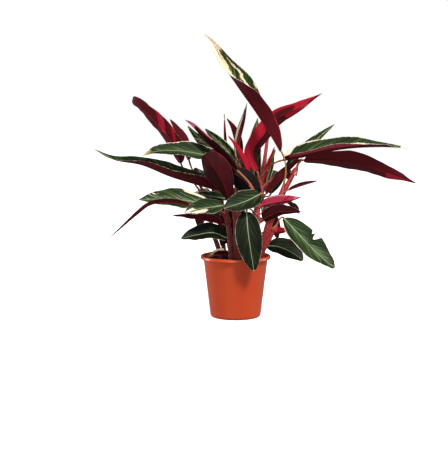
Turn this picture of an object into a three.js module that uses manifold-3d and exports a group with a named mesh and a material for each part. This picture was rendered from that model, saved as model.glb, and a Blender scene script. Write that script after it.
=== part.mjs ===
// Potted prayer plant with long variegated leaves: a nursery pot, its soil, ten leafy shoots and
// forty-eight leaf blades. Millimetres, +Z up. The origin is the centre of the pot's base, +X is
// the plant's right and -Y its front.

import * as THREE from "three";
import { mergeVertices } from "three/addons/utils/BufferGeometryUtils.js";
import Module from "manifold-3d";

const wasm = await Module();
wasm.setup();

// Clearance between pieces that touch
const SEAT_GAP = 0.3;

// Pot: a thermoformed round nursery pot with a rolled rim
const POT_HEIGHT = 150;
const RIM_RADIUS = 85;
const RIM_DEPTH = 9;
const RIM_LIP = 1.5;
const WALL_TOP_RADIUS = 77.5;
const BASE_RADIUS = 61;
const BASE_ROUNDING = 7;
const POT_WALL = 2;
const FLOOR_THICKNESS = 3;
const POT_SIDES = 36;
const DRAIN_HOLES = 6;
const DRAIN_RING_RADIUS = 40;
const DRAIN_RADIUS = 5;

// Soil: a filled body with a slightly mounded top, pierced by one plain hole for each shoot
const SOIL_EDGE_HEIGHT = 139;
const SOIL_CROWN = 4;
const STALK_FOOT_HEIGHT = 102;
const STALK_STRAIGHT_HEIGHT = 148;
const HOLE_CLEARANCE = 1.4;
const HOLE_SIDES = 8;

// Shoots: a sheathed stalk, with the petioles that leave it fused to it
const STALK_SIDES = 7;
const STALK_STEPS = 8;
const STALK_TOP_TAPER = 0.55;
const PETIOLE_SIDES = 5;
const PETIOLE_STEPS = 7;
const PETIOLE_RADIUS = 1.9;
const SHEATH_SWELL = 2.4;
const SHEATH_FADE = 5;
const JOINT_SWELL = 0.5;
const JOINT_START = 0.86;
const PETIOLE_RISE = 0.38;
const PETIOLE_REACH = 0.34;

// Blades: lance-shaped sheets, folded along the midrib
const BLADE_THICKNESS = 0.8;
const BLADE_COLUMNS = 4;
const BLADE_ROWS = 8;
const BLADE_BASE_HALF_WIDTH = 1.6;
const BLADE_TIP_HALF_WIDTH = 0.5;
const BASE_ROUNDNESS = 0.6;
const FOLD_EASE = 0.35;
const WAVES_PER_BLADE = 2.5;
const WAVE_OFFSET = 0.9;

const FINISHES = {
  terracotta: { color: "#c2481f", roughness: 0.5, metalness: 0 },
  soil: { color: "#1d1713", roughness: 0.95, metalness: 0 },
  stalk: { color: "#a8323c", roughness: 0.45, metalness: 0 },
  green: { color: "#2c5636", roughness: 0.4, metalness: 0 },
  variegated: { color: "#9aa872", roughness: 0.4, metalness: 0 },
  burgundy: { color: "#5c1628", roughness: 0.5, metalness: 0 },
  crimson: { color: "#c11a40", roughness: 0.5, metalness: 0 },
  dry: { color: "#c9ab7c", roughness: 0.8, metalness: 0 },
};

// Each stalk stands upright in the soil at its foot, then follows its bend to its top.
const SHOOTS = [
  { name: "shoot_front_left", foot: [-10, -38], bend: [-14, -40, 200], top: [-22, -42, 262], radius: 7.5 },
  { name: "shoot_front_centre", foot: [3, -21], bend: [1, -25, 200], top: [-2, -28, 268], radius: 7.5 },
  { name: "shoot_front_right", foot: [39, -36], bend: [49, -38, 210], top: [49, -40, 284], radius: 10 },
  { name: "shoot_right", foot: [61, -2], bend: [92, -8, 258], top: [142, -4, 352], radius: 9 },
  { name: "shoot_low_right", foot: [55.5, -27], bend: [72, -35, 180], top: [96, -44, 226], radius: 7.5 },
  { name: "shoot_left", foot: [-36, -6], bend: [-54, -8, 205], top: [-66, -10, 268], radius: 6 },
  { name: "shoot_centre", foot: [12, 6], bend: [10, 5, 210], top: [4, 4, 290], radius: 6.5 },
  { name: "shoot_back_left", foot: [-28, 34], bend: [-32, 38, 200], top: [-34, 42, 268], radius: 6 },
  { name: "shoot_back_centre", foot: [6, 46], bend: [6, 52, 210], top: [4, 56, 296], radius: 6.5 },
  { name: "shoot_back_right", foot: [42, 26], bend: [47, 28, 200], top: [80, 60, 442], radius: 6.5 },
];

// Each blade follows its midrib's route from base to tip. Its upper surface looks along face, first
// at the base and then at the tip. It is widest at that share of its length, and a taper above 1
// gives it a longer point. The two halves rise from the midrib by their fold, in degrees, roll
// further by the curl towards the margin, and their edges wave by so many millimetres.
// leavesAt is the height at which the blade's petiole leaves its shoot's stalk. A petiole that is
// still wrapped in its sheath states its own radius there.
const LEAVES = [
  {
    name: "leaf_spire",
    shoot: "shoot_right",
    leavesAt: 266,
    tone: "variegated",
    route: [
      [107, -22, 403],
      [83, -28, 443],
      [46, -36, 499],
      [11, -42, 547],
      [-22, -47, 594],
      [-48, -51, 644],
      [-73, -54, 676],
    ],
    face: [[0.83, 0.32, 0.55], [-0.22, -0.78, -0.15]],
    halfWidth: 37,
    widest: 0.5,
    taper: 1,
    folds: [66, 34],
    curl: 10,
    wave: 1.5,
  },
  {
    name: "leaf_crimson_right",
    shoot: "shoot_back_right",
    leavesAt: 285,
    tone: "crimson",
    route: [
      [52, 24, 352],
      [39, 30, 395],
      [66, 36, 439],
      [103, 40, 479],
      [151, 46, 504],
      [209, 54, 538],
    ],
    face: [[-0.5, 0.85, 0], [-0.3, 0.85, 0.4]],
    halfWidth: 23,
    widest: 0.44,
    taper: 1.15,
    folds: [12, 12],
    curl: 8,
    wave: 1.5,
    petioleRadius: 4.5,
  },
  {
    name: "leaf_rolled_crimson",
    shoot: "shoot_centre",
    leavesAt: 275,
    tone: "crimson",
    route: [[32, 0, 346], [17, -4, 380], [1, -6, 411], [-18, -8, 439]],
    face: [[0.3, 1, 0.2], [0.3, 1, 0.2]],
    halfWidth: 9,
    widest: 0.4,
    taper: 1,
    folds: [30, 45],
    curl: 20,
    wave: 0,
    petioleRadius: 3.5,
  },
  {
    name: "leaf_burgundy_left",
    shoot: "shoot_left",
    leavesAt: 262,
    tone: "burgundy",
    route: [
      [-132, 16, 371],
      [-145, 12, 410],
      [-173, 6, 451],
      [-205, 2, 486],
      [-231, 6, 508],
      [-248, 16, 518],
    ],
    face: [[0.35, 0.8, 0.45], [0.3, 0.6, 0.7]],
    halfWidth: 23,
    widest: 0.4,
    taper: 0.22,
    folds: [12, 12],
    curl: 10,
    wave: 1.5,
  },
  {
    name: "leaf_green_left",
    shoot: "shoot_centre",
    leavesAt: 275,
    tone: "green",
    route: [
      [-14, 2, 377],
      [-64, -10, 390],
      [-132, -24, 403],
      [-184, -34, 403],
      [-219, -42, 394],
    ],
    face: [[0, -0.6, 0.8], [0, -0.6, 0.8]],
    halfWidth: 28,
    widest: 0.44,
    taper: 0.8,
    folds: [12, 12],
    curl: 10,
    wave: 2,
  },
  {
    name: "leaf_broad_burgundy",
    shoot: "shoot_front_centre",
    leavesAt: 240,
    tone: "burgundy",
    route: [
      [-15, -46, 281],
      [-22, -60, 310],
      [-35, -70, 340],
      [-53, -74, 369],
      [-74, -68, 398],
    ],
    face: [[0.2, 0.95, 0.1], [0.1, 0.9, 0.4]],
    halfWidth: 34,
    widest: 0.66,
    taper: 0.42,
    folds: [12, 12],
    curl: 15,
    wave: 1,
    petioleRadius: 3,
  },
  {
    name: "leaf_long_left",
    shoot: "shoot_centre",
    leavesAt: 262,
    tone: "burgundy",
    route: [
      [-33, -8, 305],
      [-85, -8, 320],
      [-155, -8, 341],
      [-226, -8, 369],
      [-291, -6, 381],
      [-337, -4, 406],
    ],
    face: [[0, 0, 1], [0, -0.6, 0.8]],
    halfWidth: 30,
    widest: 0.3,
    taper: 1.1,
    folds: [55, 70],
    curl: 0,
    wave: 1.5,
  },
  {
    name: "leaf_pink_roll",
    shoot: "shoot_front_right",
    leavesAt: 280,
    tone: "burgundy",
    route: [
      [3, -33, 357],
      [-23, -32, 380],
      [-52, -30, 408],
      [-78, -27, 434],
      [-100, -24, 459],
      [-121, -20, 477],
    ],
    face: [[0.6, 0.2, 0.75], [0.4, -0.1, 0.9]],
    halfWidth: 18,
    widest: 0.4,
    taper: 0.55,
    folds: [45, 30],
    curl: 20,
    wave: 0,
    petioleRadius: 3,
  },
  {
    name: "leaf_greygreen_roll",
    shoot: "shoot_back_left",
    leavesAt: 285,
    tone: "green",
    route: [[-33, 24, 388], [-62, 29, 409], [-88, 31, 431], [-116, 32, 460]],
    face: [[-0.5, -0.75, -0.3], [-0.5, -0.75, -0.3]],
    halfWidth: 13,
    widest: 0.5,
    taper: 0.9,
    folds: [12, 16],
    curl: 6,
    wave: 1,
  },
  {
    name: "leaf_greygreen_upper",
    shoot: "shoot_back_centre",
    leavesAt: 285,
    tone: "green",
    route: [[6, 34, 370], [-18, 36, 399], [-45, 38, 426], [-74, 40, 453]],
    face: [[-0.2, -0.9, 0.3], [-0.3, -0.9, 0.2]],
    halfWidth: 14,
    widest: 0.44,
    taper: 0.8,
    folds: [15, 25],
    curl: 10,
    wave: 1,
    petioleRadius: 2.4,
  },
  {
    name: "leaf_spike",
    shoot: "shoot_back_centre",
    leavesAt: 290,
    tone: "burgundy",
    route: [[-16, 58, 371], [-23, 60, 408], [-26, 62, 449], [-27, 64, 488]],
    face: [[0, -1, 0], [0, -1, 0]],
    halfWidth: 5,
    widest: 0.44,
    taper: 1,
    folds: [80, 80],
    curl: 90,
    wave: 0,
  },
  {
    name: "leaf_young_burgundy",
    shoot: "shoot_back_centre",
    leavesAt: 288,
    tone: "burgundy",
    route: [[11, 50, 381], [6, 50, 418], [-6, 50, 454], [-21, 50, 478]],
    face: [[0.3, 0.9, 0.2], [0.3, 0.9, 0.2]],
    halfWidth: 11,
    widest: 0.44,
    taper: 1,
    folds: [30, 30],
    curl: 10,
    wave: 0,
    petioleRadius: 2.6,
  },
  {
    name: "leaf_upright_roll",
    shoot: "shoot_centre",
    leavesAt: 286,
    tone: "variegated",
    route: [[6, 16, 379], [10, 18, 424], [22, 20, 475], [27, 22, 515]],
    face: [[-0.85, -0.5, 0], [-0.85, -0.5, 0]],
    halfWidth: 13,
    widest: 0.44,
    taper: 1,
    folds: [50, 65],
    curl: 10,
    wave: 0,
    petioleRadius: 3.5,
  },
  {
    name: "leaf_behind_centre",
    shoot: "shoot_back_right",
    leavesAt: 288,
    tone: "green",
    route: [[51, 77, 286], [46, 79, 350], [46, 82, 419], [55, 86, 479]],
    face: [[0, -1, 0.2], [0, -1, 0.2]],
    halfWidth: 19,
    widest: 0.5,
    taper: 1.1,
    folds: [20, 20],
    curl: 5,
    wave: 0,
    petioleRadius: 3.2,
  },
  {
    name: "leaf_slim_crimson",
    shoot: "shoot_back_right",
    leavesAt: 284,
    tone: "crimson",
    route: [[70, 50, 320], [77, 50, 350], [85, 50, 379], [95, 50, 409]],
    face: [[0, 1, 0.2], [0, 1, 0.2]],
    halfWidth: 5,
    widest: 0.44,
    taper: 1,
    folds: [50, 50],
    curl: 10,
    wave: 0,
    petioleRadius: 3,
  },
  {
    name: "leaf_long_right",
    shoot: "shoot_back_right",
    leavesAt: 315,
    tone: "green",
    route: [
      [114, 6, 379],
      [161, 0, 388],
      [213, -4, 400],
      [273, -8, 409],
      [344, -10, 412],
      [412, -10, 409],
    ],
    face: [[0, -0.5, 0.87], [0, -0.5, 0.87]],
    halfWidth: 34,
    widest: 0.32,
    taper: 1.05,
    folds: [34, 56],
    curl: -4,
    wave: 2,
    petioleRadius: 3,
  },
  {
    name: "leaf_pale_behind",
    shoot: "shoot_back_right",
    leavesAt: 290,
    tone: "green",
    route: [[123, 40, 358], [157, 44, 394], [198, 46, 428], [240, 48, 464]],
    face: [[-0.4, -0.7, 0.4], [-0.4, -0.7, 0.4]],
    halfWidth: 13,
    widest: 0.44,
    taper: 1,
    folds: [20, 20],
    curl: 5,
    wave: 0,
  },
  {
    name: "leaf_drooping_right",
    shoot: "shoot_right",
    leavesAt: 345,
    tone: "burgundy",
    route: [
      [164, 8, 379],
      [216, 22, 379],
      [265, 28, 375],
      [321, 30, 362],
      [382, 30, 341],
      [438, 26, 322],
    ],
    face: [[0, 0.77, 0.64], [0, 0.77, 0.64]],
    halfWidth: 28,
    widest: 0.44,
    taper: 1,
    folds: [12, 12],
    curl: 8,
    wave: 2,
    petioleRadius: 3,
  },
  {
    name: "leaf_centre_right",
    shoot: "shoot_back_right",
    leavesAt: 270,
    tone: "burgundy",
    route: [[73, 14, 297], [105, 18, 328], [134, 20, 358], [163, 22, 385]],
    face: [[-0.7, 0.2, 0.65], [-0.7, 0.2, 0.65]],
    halfWidth: 17,
    widest: 0.44,
    taper: 1,
    folds: [35, 60],
    curl: 5,
    wave: 1,
    petioleRadius: 3.4,
  },
  {
    name: "leaf_thin_spike",
    shoot: "shoot_right",
    leavesAt: 280,
    tone: "burgundy",
    route: [[127, -16, 310], [156, -14, 320], [196, -12, 331]],
    face: [[-0.2, 0.8, 0.5], [-0.2, 0.8, 0.5]],
    halfWidth: 6,
    widest: 0.44,
    taper: 1,
    folds: [30, 30],
    curl: 10,
    wave: 0,
  },
  {
    name: "leaf_hot_pink",
    shoot: "shoot_front_right",
    leavesAt: 238,
    tone: "crimson",
    route: [[62, -32, 275], [93, -32, 282], [122, -28, 286], [156, -18, 292]],
    face: [[0, 0.85, 0.5], [0, 0.85, 0.5]],
    halfWidth: 15,
    widest: 0.38,
    taper: 1,
    folds: [14, 14],
    curl: 10,
    wave: 0,
    petioleRadius: 3,
  },
  {
    name: "leaf_dark_burgundy",
    shoot: "shoot_front_right",
    leavesAt: 222,
    tone: "burgundy",
    route: [[65, -34, 240], [93, -34, 256], [125, -30, 260], [156, -24, 257]],
    face: [[0, 0.8, 0.6], [0, 0.8, 0.6]],
    halfWidth: 20,
    widest: 0.32,
    taper: 0.8,
    folds: [14, 14],
    curl: 8,
    wave: 1,
    petioleRadius: 2.6,
  },
  {
    name: "leaf_low_right",
    shoot: "shoot_low_right",
    leavesAt: 215,
    tone: "green",
    route: [
      [114, -50, 245],
      [139, -66, 219],
      [165, -82, 192],
      [192, -96, 166],
      [230, -108, 134],
    ],
    face: [[0.35, -0.75, 0.55], [0.35, -0.75, 0.55]],
    halfWidth: 35,
    widest: 0.48,
    taper: 0.7,
    folds: [10, 10],
    curl: 8,
    wave: 2,
  },
  {
    name: "leaf_low_right_behind",
    shoot: "shoot_back_right",
    leavesAt: 160,
    tone: "green",
    route: [[75, 22, 170], [103, 10, 169], [133, 0, 158], [163, -8, 138]],
    face: [[0.2, -0.65, 0.7], [0.2, -0.65, 0.7]],
    halfWidth: 30,
    widest: 0.5,
    taper: 0.7,
    folds: [10, 10],
    curl: 8,
    wave: 1,
  },
  {
    name: "leaf_front_hanging",
    shoot: "shoot_front_right",
    leavesAt: 240,
    tone: "green",
    route: [[25, -80, 263], [28, -95, 220], [35, -101, 171], [42, -103, 127]],
    face: [[0, -1, 0.2], [0, -1, 0]],
    halfWidth: 31,
    widest: 0.42,
    taper: 0.65,
    folds: [12, 12],
    curl: 8,
    wave: 2,
  },
  {
    name: "leaf_front_centre",
    shoot: "shoot_front_right",
    leavesAt: 270,
    tone: "green",
    route: [[57, -56, 303], [31, -72, 291], [5, -90, 283], [-27, -106, 274]],
    face: [[0.1, -0.75, 0.6], [0.1, -0.75, 0.6]],
    halfWidth: 27,
    widest: 0.44,
    taper: 0.58,
    folds: [10, 10],
    curl: 8,
    wave: 1.5,
  },
  {
    name: "leaf_wide_left",
    shoot: "shoot_left",
    leavesAt: 250,
    tone: "variegated",
    route: [
      [-66, -44, 278],
      [-108, -50, 286],
      [-160, -56, 292],
      [-202, -60, 291],
      [-229, -64, 291],
    ],
    face: [[0, -0.68, 0.73], [0, -0.68, 0.73]],
    halfWidth: 29,
    widest: 0.44,
    taper: 0.9,
    folds: [10, 10],
    curl: 6,
    wave: 2,
  },
  {
    name: "leaf_whip",
    shoot: "shoot_front_left",
    leavesAt: 232,
    tone: "burgundy",
    route: [
      [-110, -84, 280],
      [-147, -88, 287],
      [-184, -90, 286],
      [-205, -90, 279],
      [-231, -90, 260],
      [-260, -86, 235],
      [-302, -80, 198],
    ],
    face: [[0.2, 0.5, 0.8], [0.4, 0.5, 0.6]],
    halfWidth: 8,
    widest: 0.22,
    taper: 1.3,
    folds: [30, 30],
    curl: 10,
    wave: 0,
  },
  {
    name: "leaf_front_left",
    shoot: "shoot_front_left",
    leavesAt: 258,
    tone: "variegated",
    route: [[-30, -62, 277], [-58, -78, 274], [-89, -94, 271], [-120, -108, 263]],
    face: [[-0.2, -0.7, 0.65], [-0.2, -0.7, 0.65]],
    halfWidth: 25,
    widest: 0.44,
    taper: 0.8,
    folds: [10, 10],
    curl: 8,
    wave: 1.5,
  },
  {
    name: "leaf_dark_centre",
    shoot: "shoot_front_centre",
    leavesAt: 258,
    tone: "green",
    route: [[-14, -22, 288], [-45, -18, 292], [-73, -14, 297], [-93, -12, 301]],
    face: [[0, -0.6, 0.8], [0, -0.6, 0.8]],
    halfWidth: 15,
    widest: 0.44,
    taper: 0.8,
    folds: [10, 10],
    curl: 8,
    wave: 1,
  },
  {
    name: "leaf_low_burgundy",
    shoot: "shoot_front_left",
    leavesAt: 215,
    tone: "burgundy",
    route: [[-33, -46, 231], [-66, -54, 241], [-108, -62, 248], [-149, -70, 254]],
    face: [[0, 0.6, 0.8], [0, 0.6, 0.8]],
    halfWidth: 16,
    widest: 0.36,
    taper: 0.9,
    folds: [20, 20],
    curl: 8,
    wave: 1,
  },
  {
    name: "leaf_low_left",
    shoot: "shoot_front_left",
    leavesAt: 180,
    tone: "green",
    route: [[-21, -52, 198], [-54, -64, 212], [-89, -76, 209], [-129, -86, 201]],
    face: [[-0.1, -0.7, 0.7], [-0.1, -0.7, 0.7]],
    halfWidth: 25,
    widest: 0.44,
    taper: 0.75,
    folds: [15, 15],
    curl: 8,
    wave: 1.5,
  },
  {
    name: "leaf_withered",
    shoot: "shoot_front_left",
    leavesAt: 152,
    tone: "dry",
    route: [[-18, -48, 161], [-40, -52, 161], [-66, -52, 154]],
    face: [[0, -0.5, 0.8], [0, -0.5, 0.8]],
    halfWidth: 10,
    widest: 0.44,
    taper: 1,
    folds: [50, 30],
    curl: 60,
    wave: 0,
  },
  {
    name: "leaf_small_crimson",
    shoot: "shoot_back_right",
    leavesAt: 190,
    tone: "crimson",
    route: [[91, 24, 201], [108, 24, 205], [130, 22, 206]],
    face: [[0, 0.9, 0.4], [0, 0.9, 0.4]],
    halfWidth: 9,
    widest: 0.44,
    taper: 1,
    folds: [20, 20],
    curl: 8,
    wave: 0,
  },
  {
    name: "leaf_striped_centre",
    shoot: "shoot_back_right",
    leavesAt: 285,
    tone: "variegated",
    route: [[68, 62, 297], [80, 63, 332], [89, 64, 366], [97, 64, 402]],
    face: [[-0.5, -0.85, 0.1], [-0.5, -0.85, 0.1]],
    halfWidth: 20,
    widest: 0.45,
    taper: 0.9,
    folds: [25, 40],
    curl: 10,
    wave: 1,
    petioleRadius: 3.6,
  },
  {
    name: "leaf_inner_burgundy",
    shoot: "shoot_centre",
    leavesAt: 265,
    tone: "burgundy",
    route: [[8, 20, 286], [-11, 21, 230], [-35, 20, 169]],
    face: [[0, 1, 0.1], [0, 1, 0.1]],
    halfWidth: 29,
    widest: 0.45,
    taper: 0.8,
    folds: [6, 6],
    curl: 4,
    wave: 1,
  },
  {
    name: "leaf_burgundy_behind",
    shoot: "shoot_left",
    leavesAt: 268,
    tone: "burgundy",
    route: [[-113, 30, 378], [-121, 30, 409], [-138, 30, 443], [-158, 30, 477]],
    face: [[0.3, 0.9, 0.2], [0.3, 0.9, 0.2]],
    halfWidth: 14,
    widest: 0.44,
    taper: 1,
    folds: [20, 25],
    curl: 8,
    wave: 1,
    petioleRadius: 2.4,
  },
  {
    name: "leaf_dark_inner",
    shoot: "shoot_front_right",
    leavesAt: 232,
    tone: "burgundy",
    route: [[53, -28, 288], [34, -22, 317], [8, -19, 341], [-23, -15, 356]],
    face: [[0.2, 0.95, -0.1], [0.2, 0.95, -0.1]],
    halfWidth: 27,
    widest: 0.5,
    taper: 0.8,
    folds: [14, 14],
    curl: 8,
    wave: 1,
  },
  {
    name: "leaf_back_left",
    shoot: "shoot_back_left",
    leavesAt: 262,
    tone: "green",
    route: [[-36, 52, 300], [-56, 88, 333], [-80, 135, 343], [-106, 190, 318]],
    face: [[-0.1, 0.1, 1], [-0.1, 0.4, 0.9]],
    halfWidth: 28,
    widest: 0.44,
    taper: 0.8,
    folds: [14, 14],
    curl: 8,
    wave: 2,
  },
  {
    name: "leaf_back_high",
    shoot: "shoot_back_centre",
    leavesAt: 285,
    tone: "green",
    route: [[8, 70, 312], [6, 104, 352], [0, 158, 372], [-12, 216, 350]],
    face: [[0, 0.1, 1], [0, 0.4, 0.9]],
    halfWidth: 36,
    widest: 0.44,
    taper: 0.8,
    folds: [14, 14],
    curl: 8,
    wave: 2,
  },
  {
    name: "leaf_back_right",
    shoot: "shoot_back_right",
    leavesAt: 275,
    tone: "green",
    route: [[88, 82, 292], [102, 110, 326], [122, 148, 336], [144, 190, 312]],
    face: [[0.1, 0.1, 1], [0.1, 0.4, 0.9]],
    halfWidth: 28,
    widest: 0.44,
    taper: 0.8,
    folds: [14, 14],
    curl: 8,
    wave: 2,
  },
  {
    name: "leaf_back_low_left",
    shoot: "shoot_back_left",
    leavesAt: 205,
    tone: "green",
    route: [[-44, 58, 225], [-62, 92, 240], [-80, 130, 228], [-92, 165, 196]],
    face: [[-0.2, 0.3, 0.9], [-0.2, 0.6, 0.8]],
    halfWidth: 25,
    widest: 0.44,
    taper: 0.8,
    folds: [14, 14],
    curl: 8,
    wave: 2,
  },
  {
    name: "leaf_back_low_right",
    shoot: "shoot_back_right",
    leavesAt: 200,
    tone: "green",
    route: [[52, 56, 215], [72, 90, 228], [92, 128, 210], [108, 160, 168]],
    face: [[0.2, 0.3, 0.9], [0.2, 0.6, 0.8]],
    halfWidth: 24,
    widest: 0.44,
    taper: 0.8,
    folds: [14, 14],
    curl: 8,
    wave: 2,
  },
  {
    name: "leaf_back_hanging",
    shoot: "shoot_back_centre",
    leavesAt: 195,
    tone: "green",
    route: [[8, 84, 212], [6, 108, 196], [2, 122, 156], [-2, 128, 108]],
    face: [[0, 0.8, 0.6], [0, 1, 0.1]],
    halfWidth: 25,
    widest: 0.44,
    taper: 0.8,
    folds: [12, 12],
    curl: 8,
    wave: 2,
  },
  {
    name: "leaf_back_side_right",
    shoot: "shoot_back_right",
    leavesAt: 235,
    tone: "green",
    route: [[66, 34, 250], [95, 54, 274], [130, 80, 268], [158, 108, 238]],
    face: [[0.2, 0, 1], [0.4, 0.2, 0.9]],
    halfWidth: 24,
    widest: 0.44,
    taper: 0.8,
    folds: [14, 14],
    curl: 8,
    wave: 2,
  },
  {
    name: "leaf_back_side_left",
    shoot: "shoot_back_left",
    leavesAt: 240,
    tone: "variegated",
    route: [[-50, 38, 262], [-76, 62, 288], [-105, 90, 290], [-134, 118, 264]],
    face: [[-0.2, 0, 1], [-0.4, 0.2, 0.9]],
    halfWidth: 24,
    widest: 0.44,
    taper: 0.8,
    folds: [14, 14],
    curl: 8,
    wave: 2,
  },
  {
    name: "leaf_back_mid_left",
    shoot: "shoot_back_centre",
    leavesAt: 245,
    tone: "green",
    route: [[-10, 74, 270], [-22, 108, 293], [-36, 152, 284], [-50, 196, 250]],
    face: [[0, 0.1, 1], [-0.1, 0.5, 0.9]],
    halfWidth: 27,
    widest: 0.44,
    taper: 0.8,
    folds: [14, 14],
    curl: 8,
    wave: 2,
  },
  {
    name: "leaf_back_mid_right",
    shoot: "shoot_back_centre",
    leavesAt: 240,
    tone: "variegated",
    route: [[26, 72, 262], [36, 108, 284], [50, 152, 275], [62, 194, 240]],
    face: [[0, 0.1, 1], [0.1, 0.5, 0.9]],
    halfWidth: 27,
    widest: 0.44,
    taper: 0.8,
    folds: [14, 14],
    curl: 8,
    wave: 2,
  },
];

const vector = (values) => new THREE.Vector3(...values);

const radians = THREE.MathUtils.degToRad;

function closedSolid(geometry) {
  geometry.deleteAttribute("normal");
  geometry.deleteAttribute("uv");
  const merged = mergeVertices(geometry, 1e-4);
  return new wasm.Manifold(
    new wasm.Mesh({
      numProp: 3,
      vertProperties: new Float32Array(merged.attributes.position.array),
      triVerts: new Uint32Array(merged.index.array),
    }),
  );
}

function solidGeometry(solid) {
  const mesh = solid.getMesh();
  const geometry = new THREE.BufferGeometry();
  geometry.setAttribute("position", new THREE.BufferAttribute(mesh.vertProperties, 3));
  geometry.setIndex(new THREE.BufferAttribute(mesh.triVerts, 1));
  return geometry;
}

function namedMesh(name, geometry, finish) {
  const mesh = new THREE.Mesh(geometry, new THREE.MeshStandardMaterial(FINISHES[finish]));
  mesh.name = name;
  return mesh;
}

// A body turned about Z from a closed profile of [radius, height] points.
function turned(profile) {
  const points = profile.map(([radius, height]) => new THREE.Vector2(radius, height));
  return new THREE.LatheGeometry(points, POT_SIDES).rotateX(Math.PI / 2);
}

function uprightCylinder(x, y, radius, bottom, top, sides) {
  const cylinder = new THREE.CylinderGeometry(radius, radius, top - bottom, sides);
  cylinder.rotateX(Math.PI / 2);
  cylinder.translate(x, y, (top + bottom) / 2);
  return closedSolid(cylinder);
}

// Outer radius of the pot's plain wall at a height.
function wallRadius(height) {
  const slope = (WALL_TOP_RADIUS - BASE_RADIUS) / (POT_HEIGHT - RIM_DEPTH - BASE_ROUNDING);
  return BASE_RADIUS + slope * (height - BASE_ROUNDING);
}

function potGeometry() {
  const underRim = POT_HEIGHT - RIM_DEPTH;
  const cornerStart = BASE_RADIUS - BASE_ROUNDING;
  const corner = Math.SQRT1_2 * BASE_ROUNDING;
  const innerFloor = wallRadius(BASE_ROUNDING) - POT_WALL;
  const profile = [
    [0, 0],
    [cornerStart, 0],
    [cornerStart + corner, BASE_ROUNDING - corner],
    [BASE_RADIUS, BASE_ROUNDING],
    [wallRadius(underRim), underRim],
    [RIM_RADIUS - RIM_LIP, underRim],
    [RIM_RADIUS, underRim + RIM_LIP],
    [RIM_RADIUS, POT_HEIGHT - RIM_LIP],
    [RIM_RADIUS - RIM_LIP, POT_HEIGHT],
    [RIM_RADIUS - RIM_LIP - POT_WALL, POT_HEIGHT],
    [wallRadius(underRim) - POT_WALL, underRim],
    [innerFloor, BASE_ROUNDING],
    [cornerStart, FLOOR_THICKNESS],
    [0, FLOOR_THICKNESS],
  ];
  let pot = closedSolid(turned(profile));
  for (let hole = 0; hole < DRAIN_HOLES; hole += 1) {
    const angle = (2 * Math.PI * hole) / DRAIN_HOLES;
    const x = DRAIN_RING_RADIUS * Math.cos(angle);
    const y = DRAIN_RING_RADIUS * Math.sin(angle);
    const drain = uprightCylinder(x, y, DRAIN_RADIUS, -1, FLOOR_THICKNESS + 1, HOLE_SIDES);
    pot = pot.subtract(drain);
  }
  return solidGeometry(pot);
}

function soilGeometry() {
  const floor = FLOOR_THICKNESS + SEAT_GAP;
  const cornerStart = BASE_RADIUS - BASE_ROUNDING;
  const inset = POT_WALL + SEAT_GAP;
  const profile = [
    [0, floor],
    [cornerStart - SEAT_GAP, floor],
    [wallRadius(BASE_ROUNDING) - inset, BASE_ROUNDING],
    [wallRadius(SOIL_EDGE_HEIGHT) - inset, SOIL_EDGE_HEIGHT],
    [WALL_TOP_RADIUS * 0.6, SOIL_EDGE_HEIGHT + SOIL_CROWN * 0.7],
    [0, SOIL_EDGE_HEIGHT + SOIL_CROWN],
  ];
  let soil = closedSolid(turned(profile));
  for (const { foot, radius } of SHOOTS) {
    const [x, y] = foot;
    const bore = radius + HOLE_CLEARANCE;
    const bottom = STALK_FOOT_HEIGHT - SEAT_GAP;
    soil = soil.subtract(uprightCylinder(x, y, bore, bottom, POT_HEIGHT, HOLE_SIDES));
  }
  return solidGeometry(soil);
}

// A closed tube along a curve, whose radius follows radiusAt from 0 at its start to 1 at its end.
function taperedTube(curve, steps, sides, radiusAt) {
  const section = [];
  for (let side = 0; side < sides; side += 1) {
    const angle = (2 * Math.PI * side) / sides;
    section.push(new THREE.Vector2(Math.cos(angle), Math.sin(angle)));
  }
  const tube = new THREE.ExtrudeGeometry(new THREE.Shape(section), {
    steps,
    bevelEnabled: false,
    extrudePath: curve,
  });
  const centres = curve.getSpacedPoints(steps);
  const position = tube.attributes.position;
  const point = new THREE.Vector3();
  for (let index = 0; index < position.count; index += 1) {
    point.fromBufferAttribute(position, index);
    const ring = nearestIndex(centres, point);
    point.sub(centres[ring]).multiplyScalar(radiusAt(ring / steps)).add(centres[ring]);
    position.setXYZ(index, point.x, point.y, point.z);
  }
  return closedSolid(tube);
}

function nearestIndex(points, target) {
  const distances = points.map((point) => point.distanceToSquared(target));
  return distances.indexOf(Math.min(...distances));
}

function stalkCurve({ foot, bend, top }) {
  const [x, y] = foot;
  const straightMiddle = (STALK_FOOT_HEIGHT + STALK_STRAIGHT_HEIGHT) / 2;
  return new THREE.CatmullRomCurve3([
    new THREE.Vector3(x, y, STALK_FOOT_HEIGHT),
    new THREE.Vector3(x, y, straightMiddle),
    new THREE.Vector3(x, y, STALK_STRAIGHT_HEIGHT),
    vector(bend),
    vector(top),
  ]);
}

// How far along a rising curve, from 0 to 1, it reaches a height.
function shareAtHeight(curve, height) {
  let low = 0;
  let high = 1;
  for (let step = 0; step < 20; step += 1) {
    const middle = (low + high) / 2;
    if (curve.getPointAt(middle).z < height) {
      low = middle;
    } else {
      high = middle;
    }
  }
  return (low + high) / 2;
}

// A petiole's radius, from 0 at its stalk to 1 at its blade.
function petioleRadiusAt(leaf, share) {
  const foot = leaf.petioleRadius ?? PETIOLE_RADIUS;
  const plain = THREE.MathUtils.lerp(foot, PETIOLE_RADIUS, share * share);
  const sheath = SHEATH_SWELL * Math.exp(-SHEATH_FADE * share);
  const joint = share > JOINT_START ? JOINT_SWELL : 0;
  return plain + sheath + joint;
}

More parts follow.
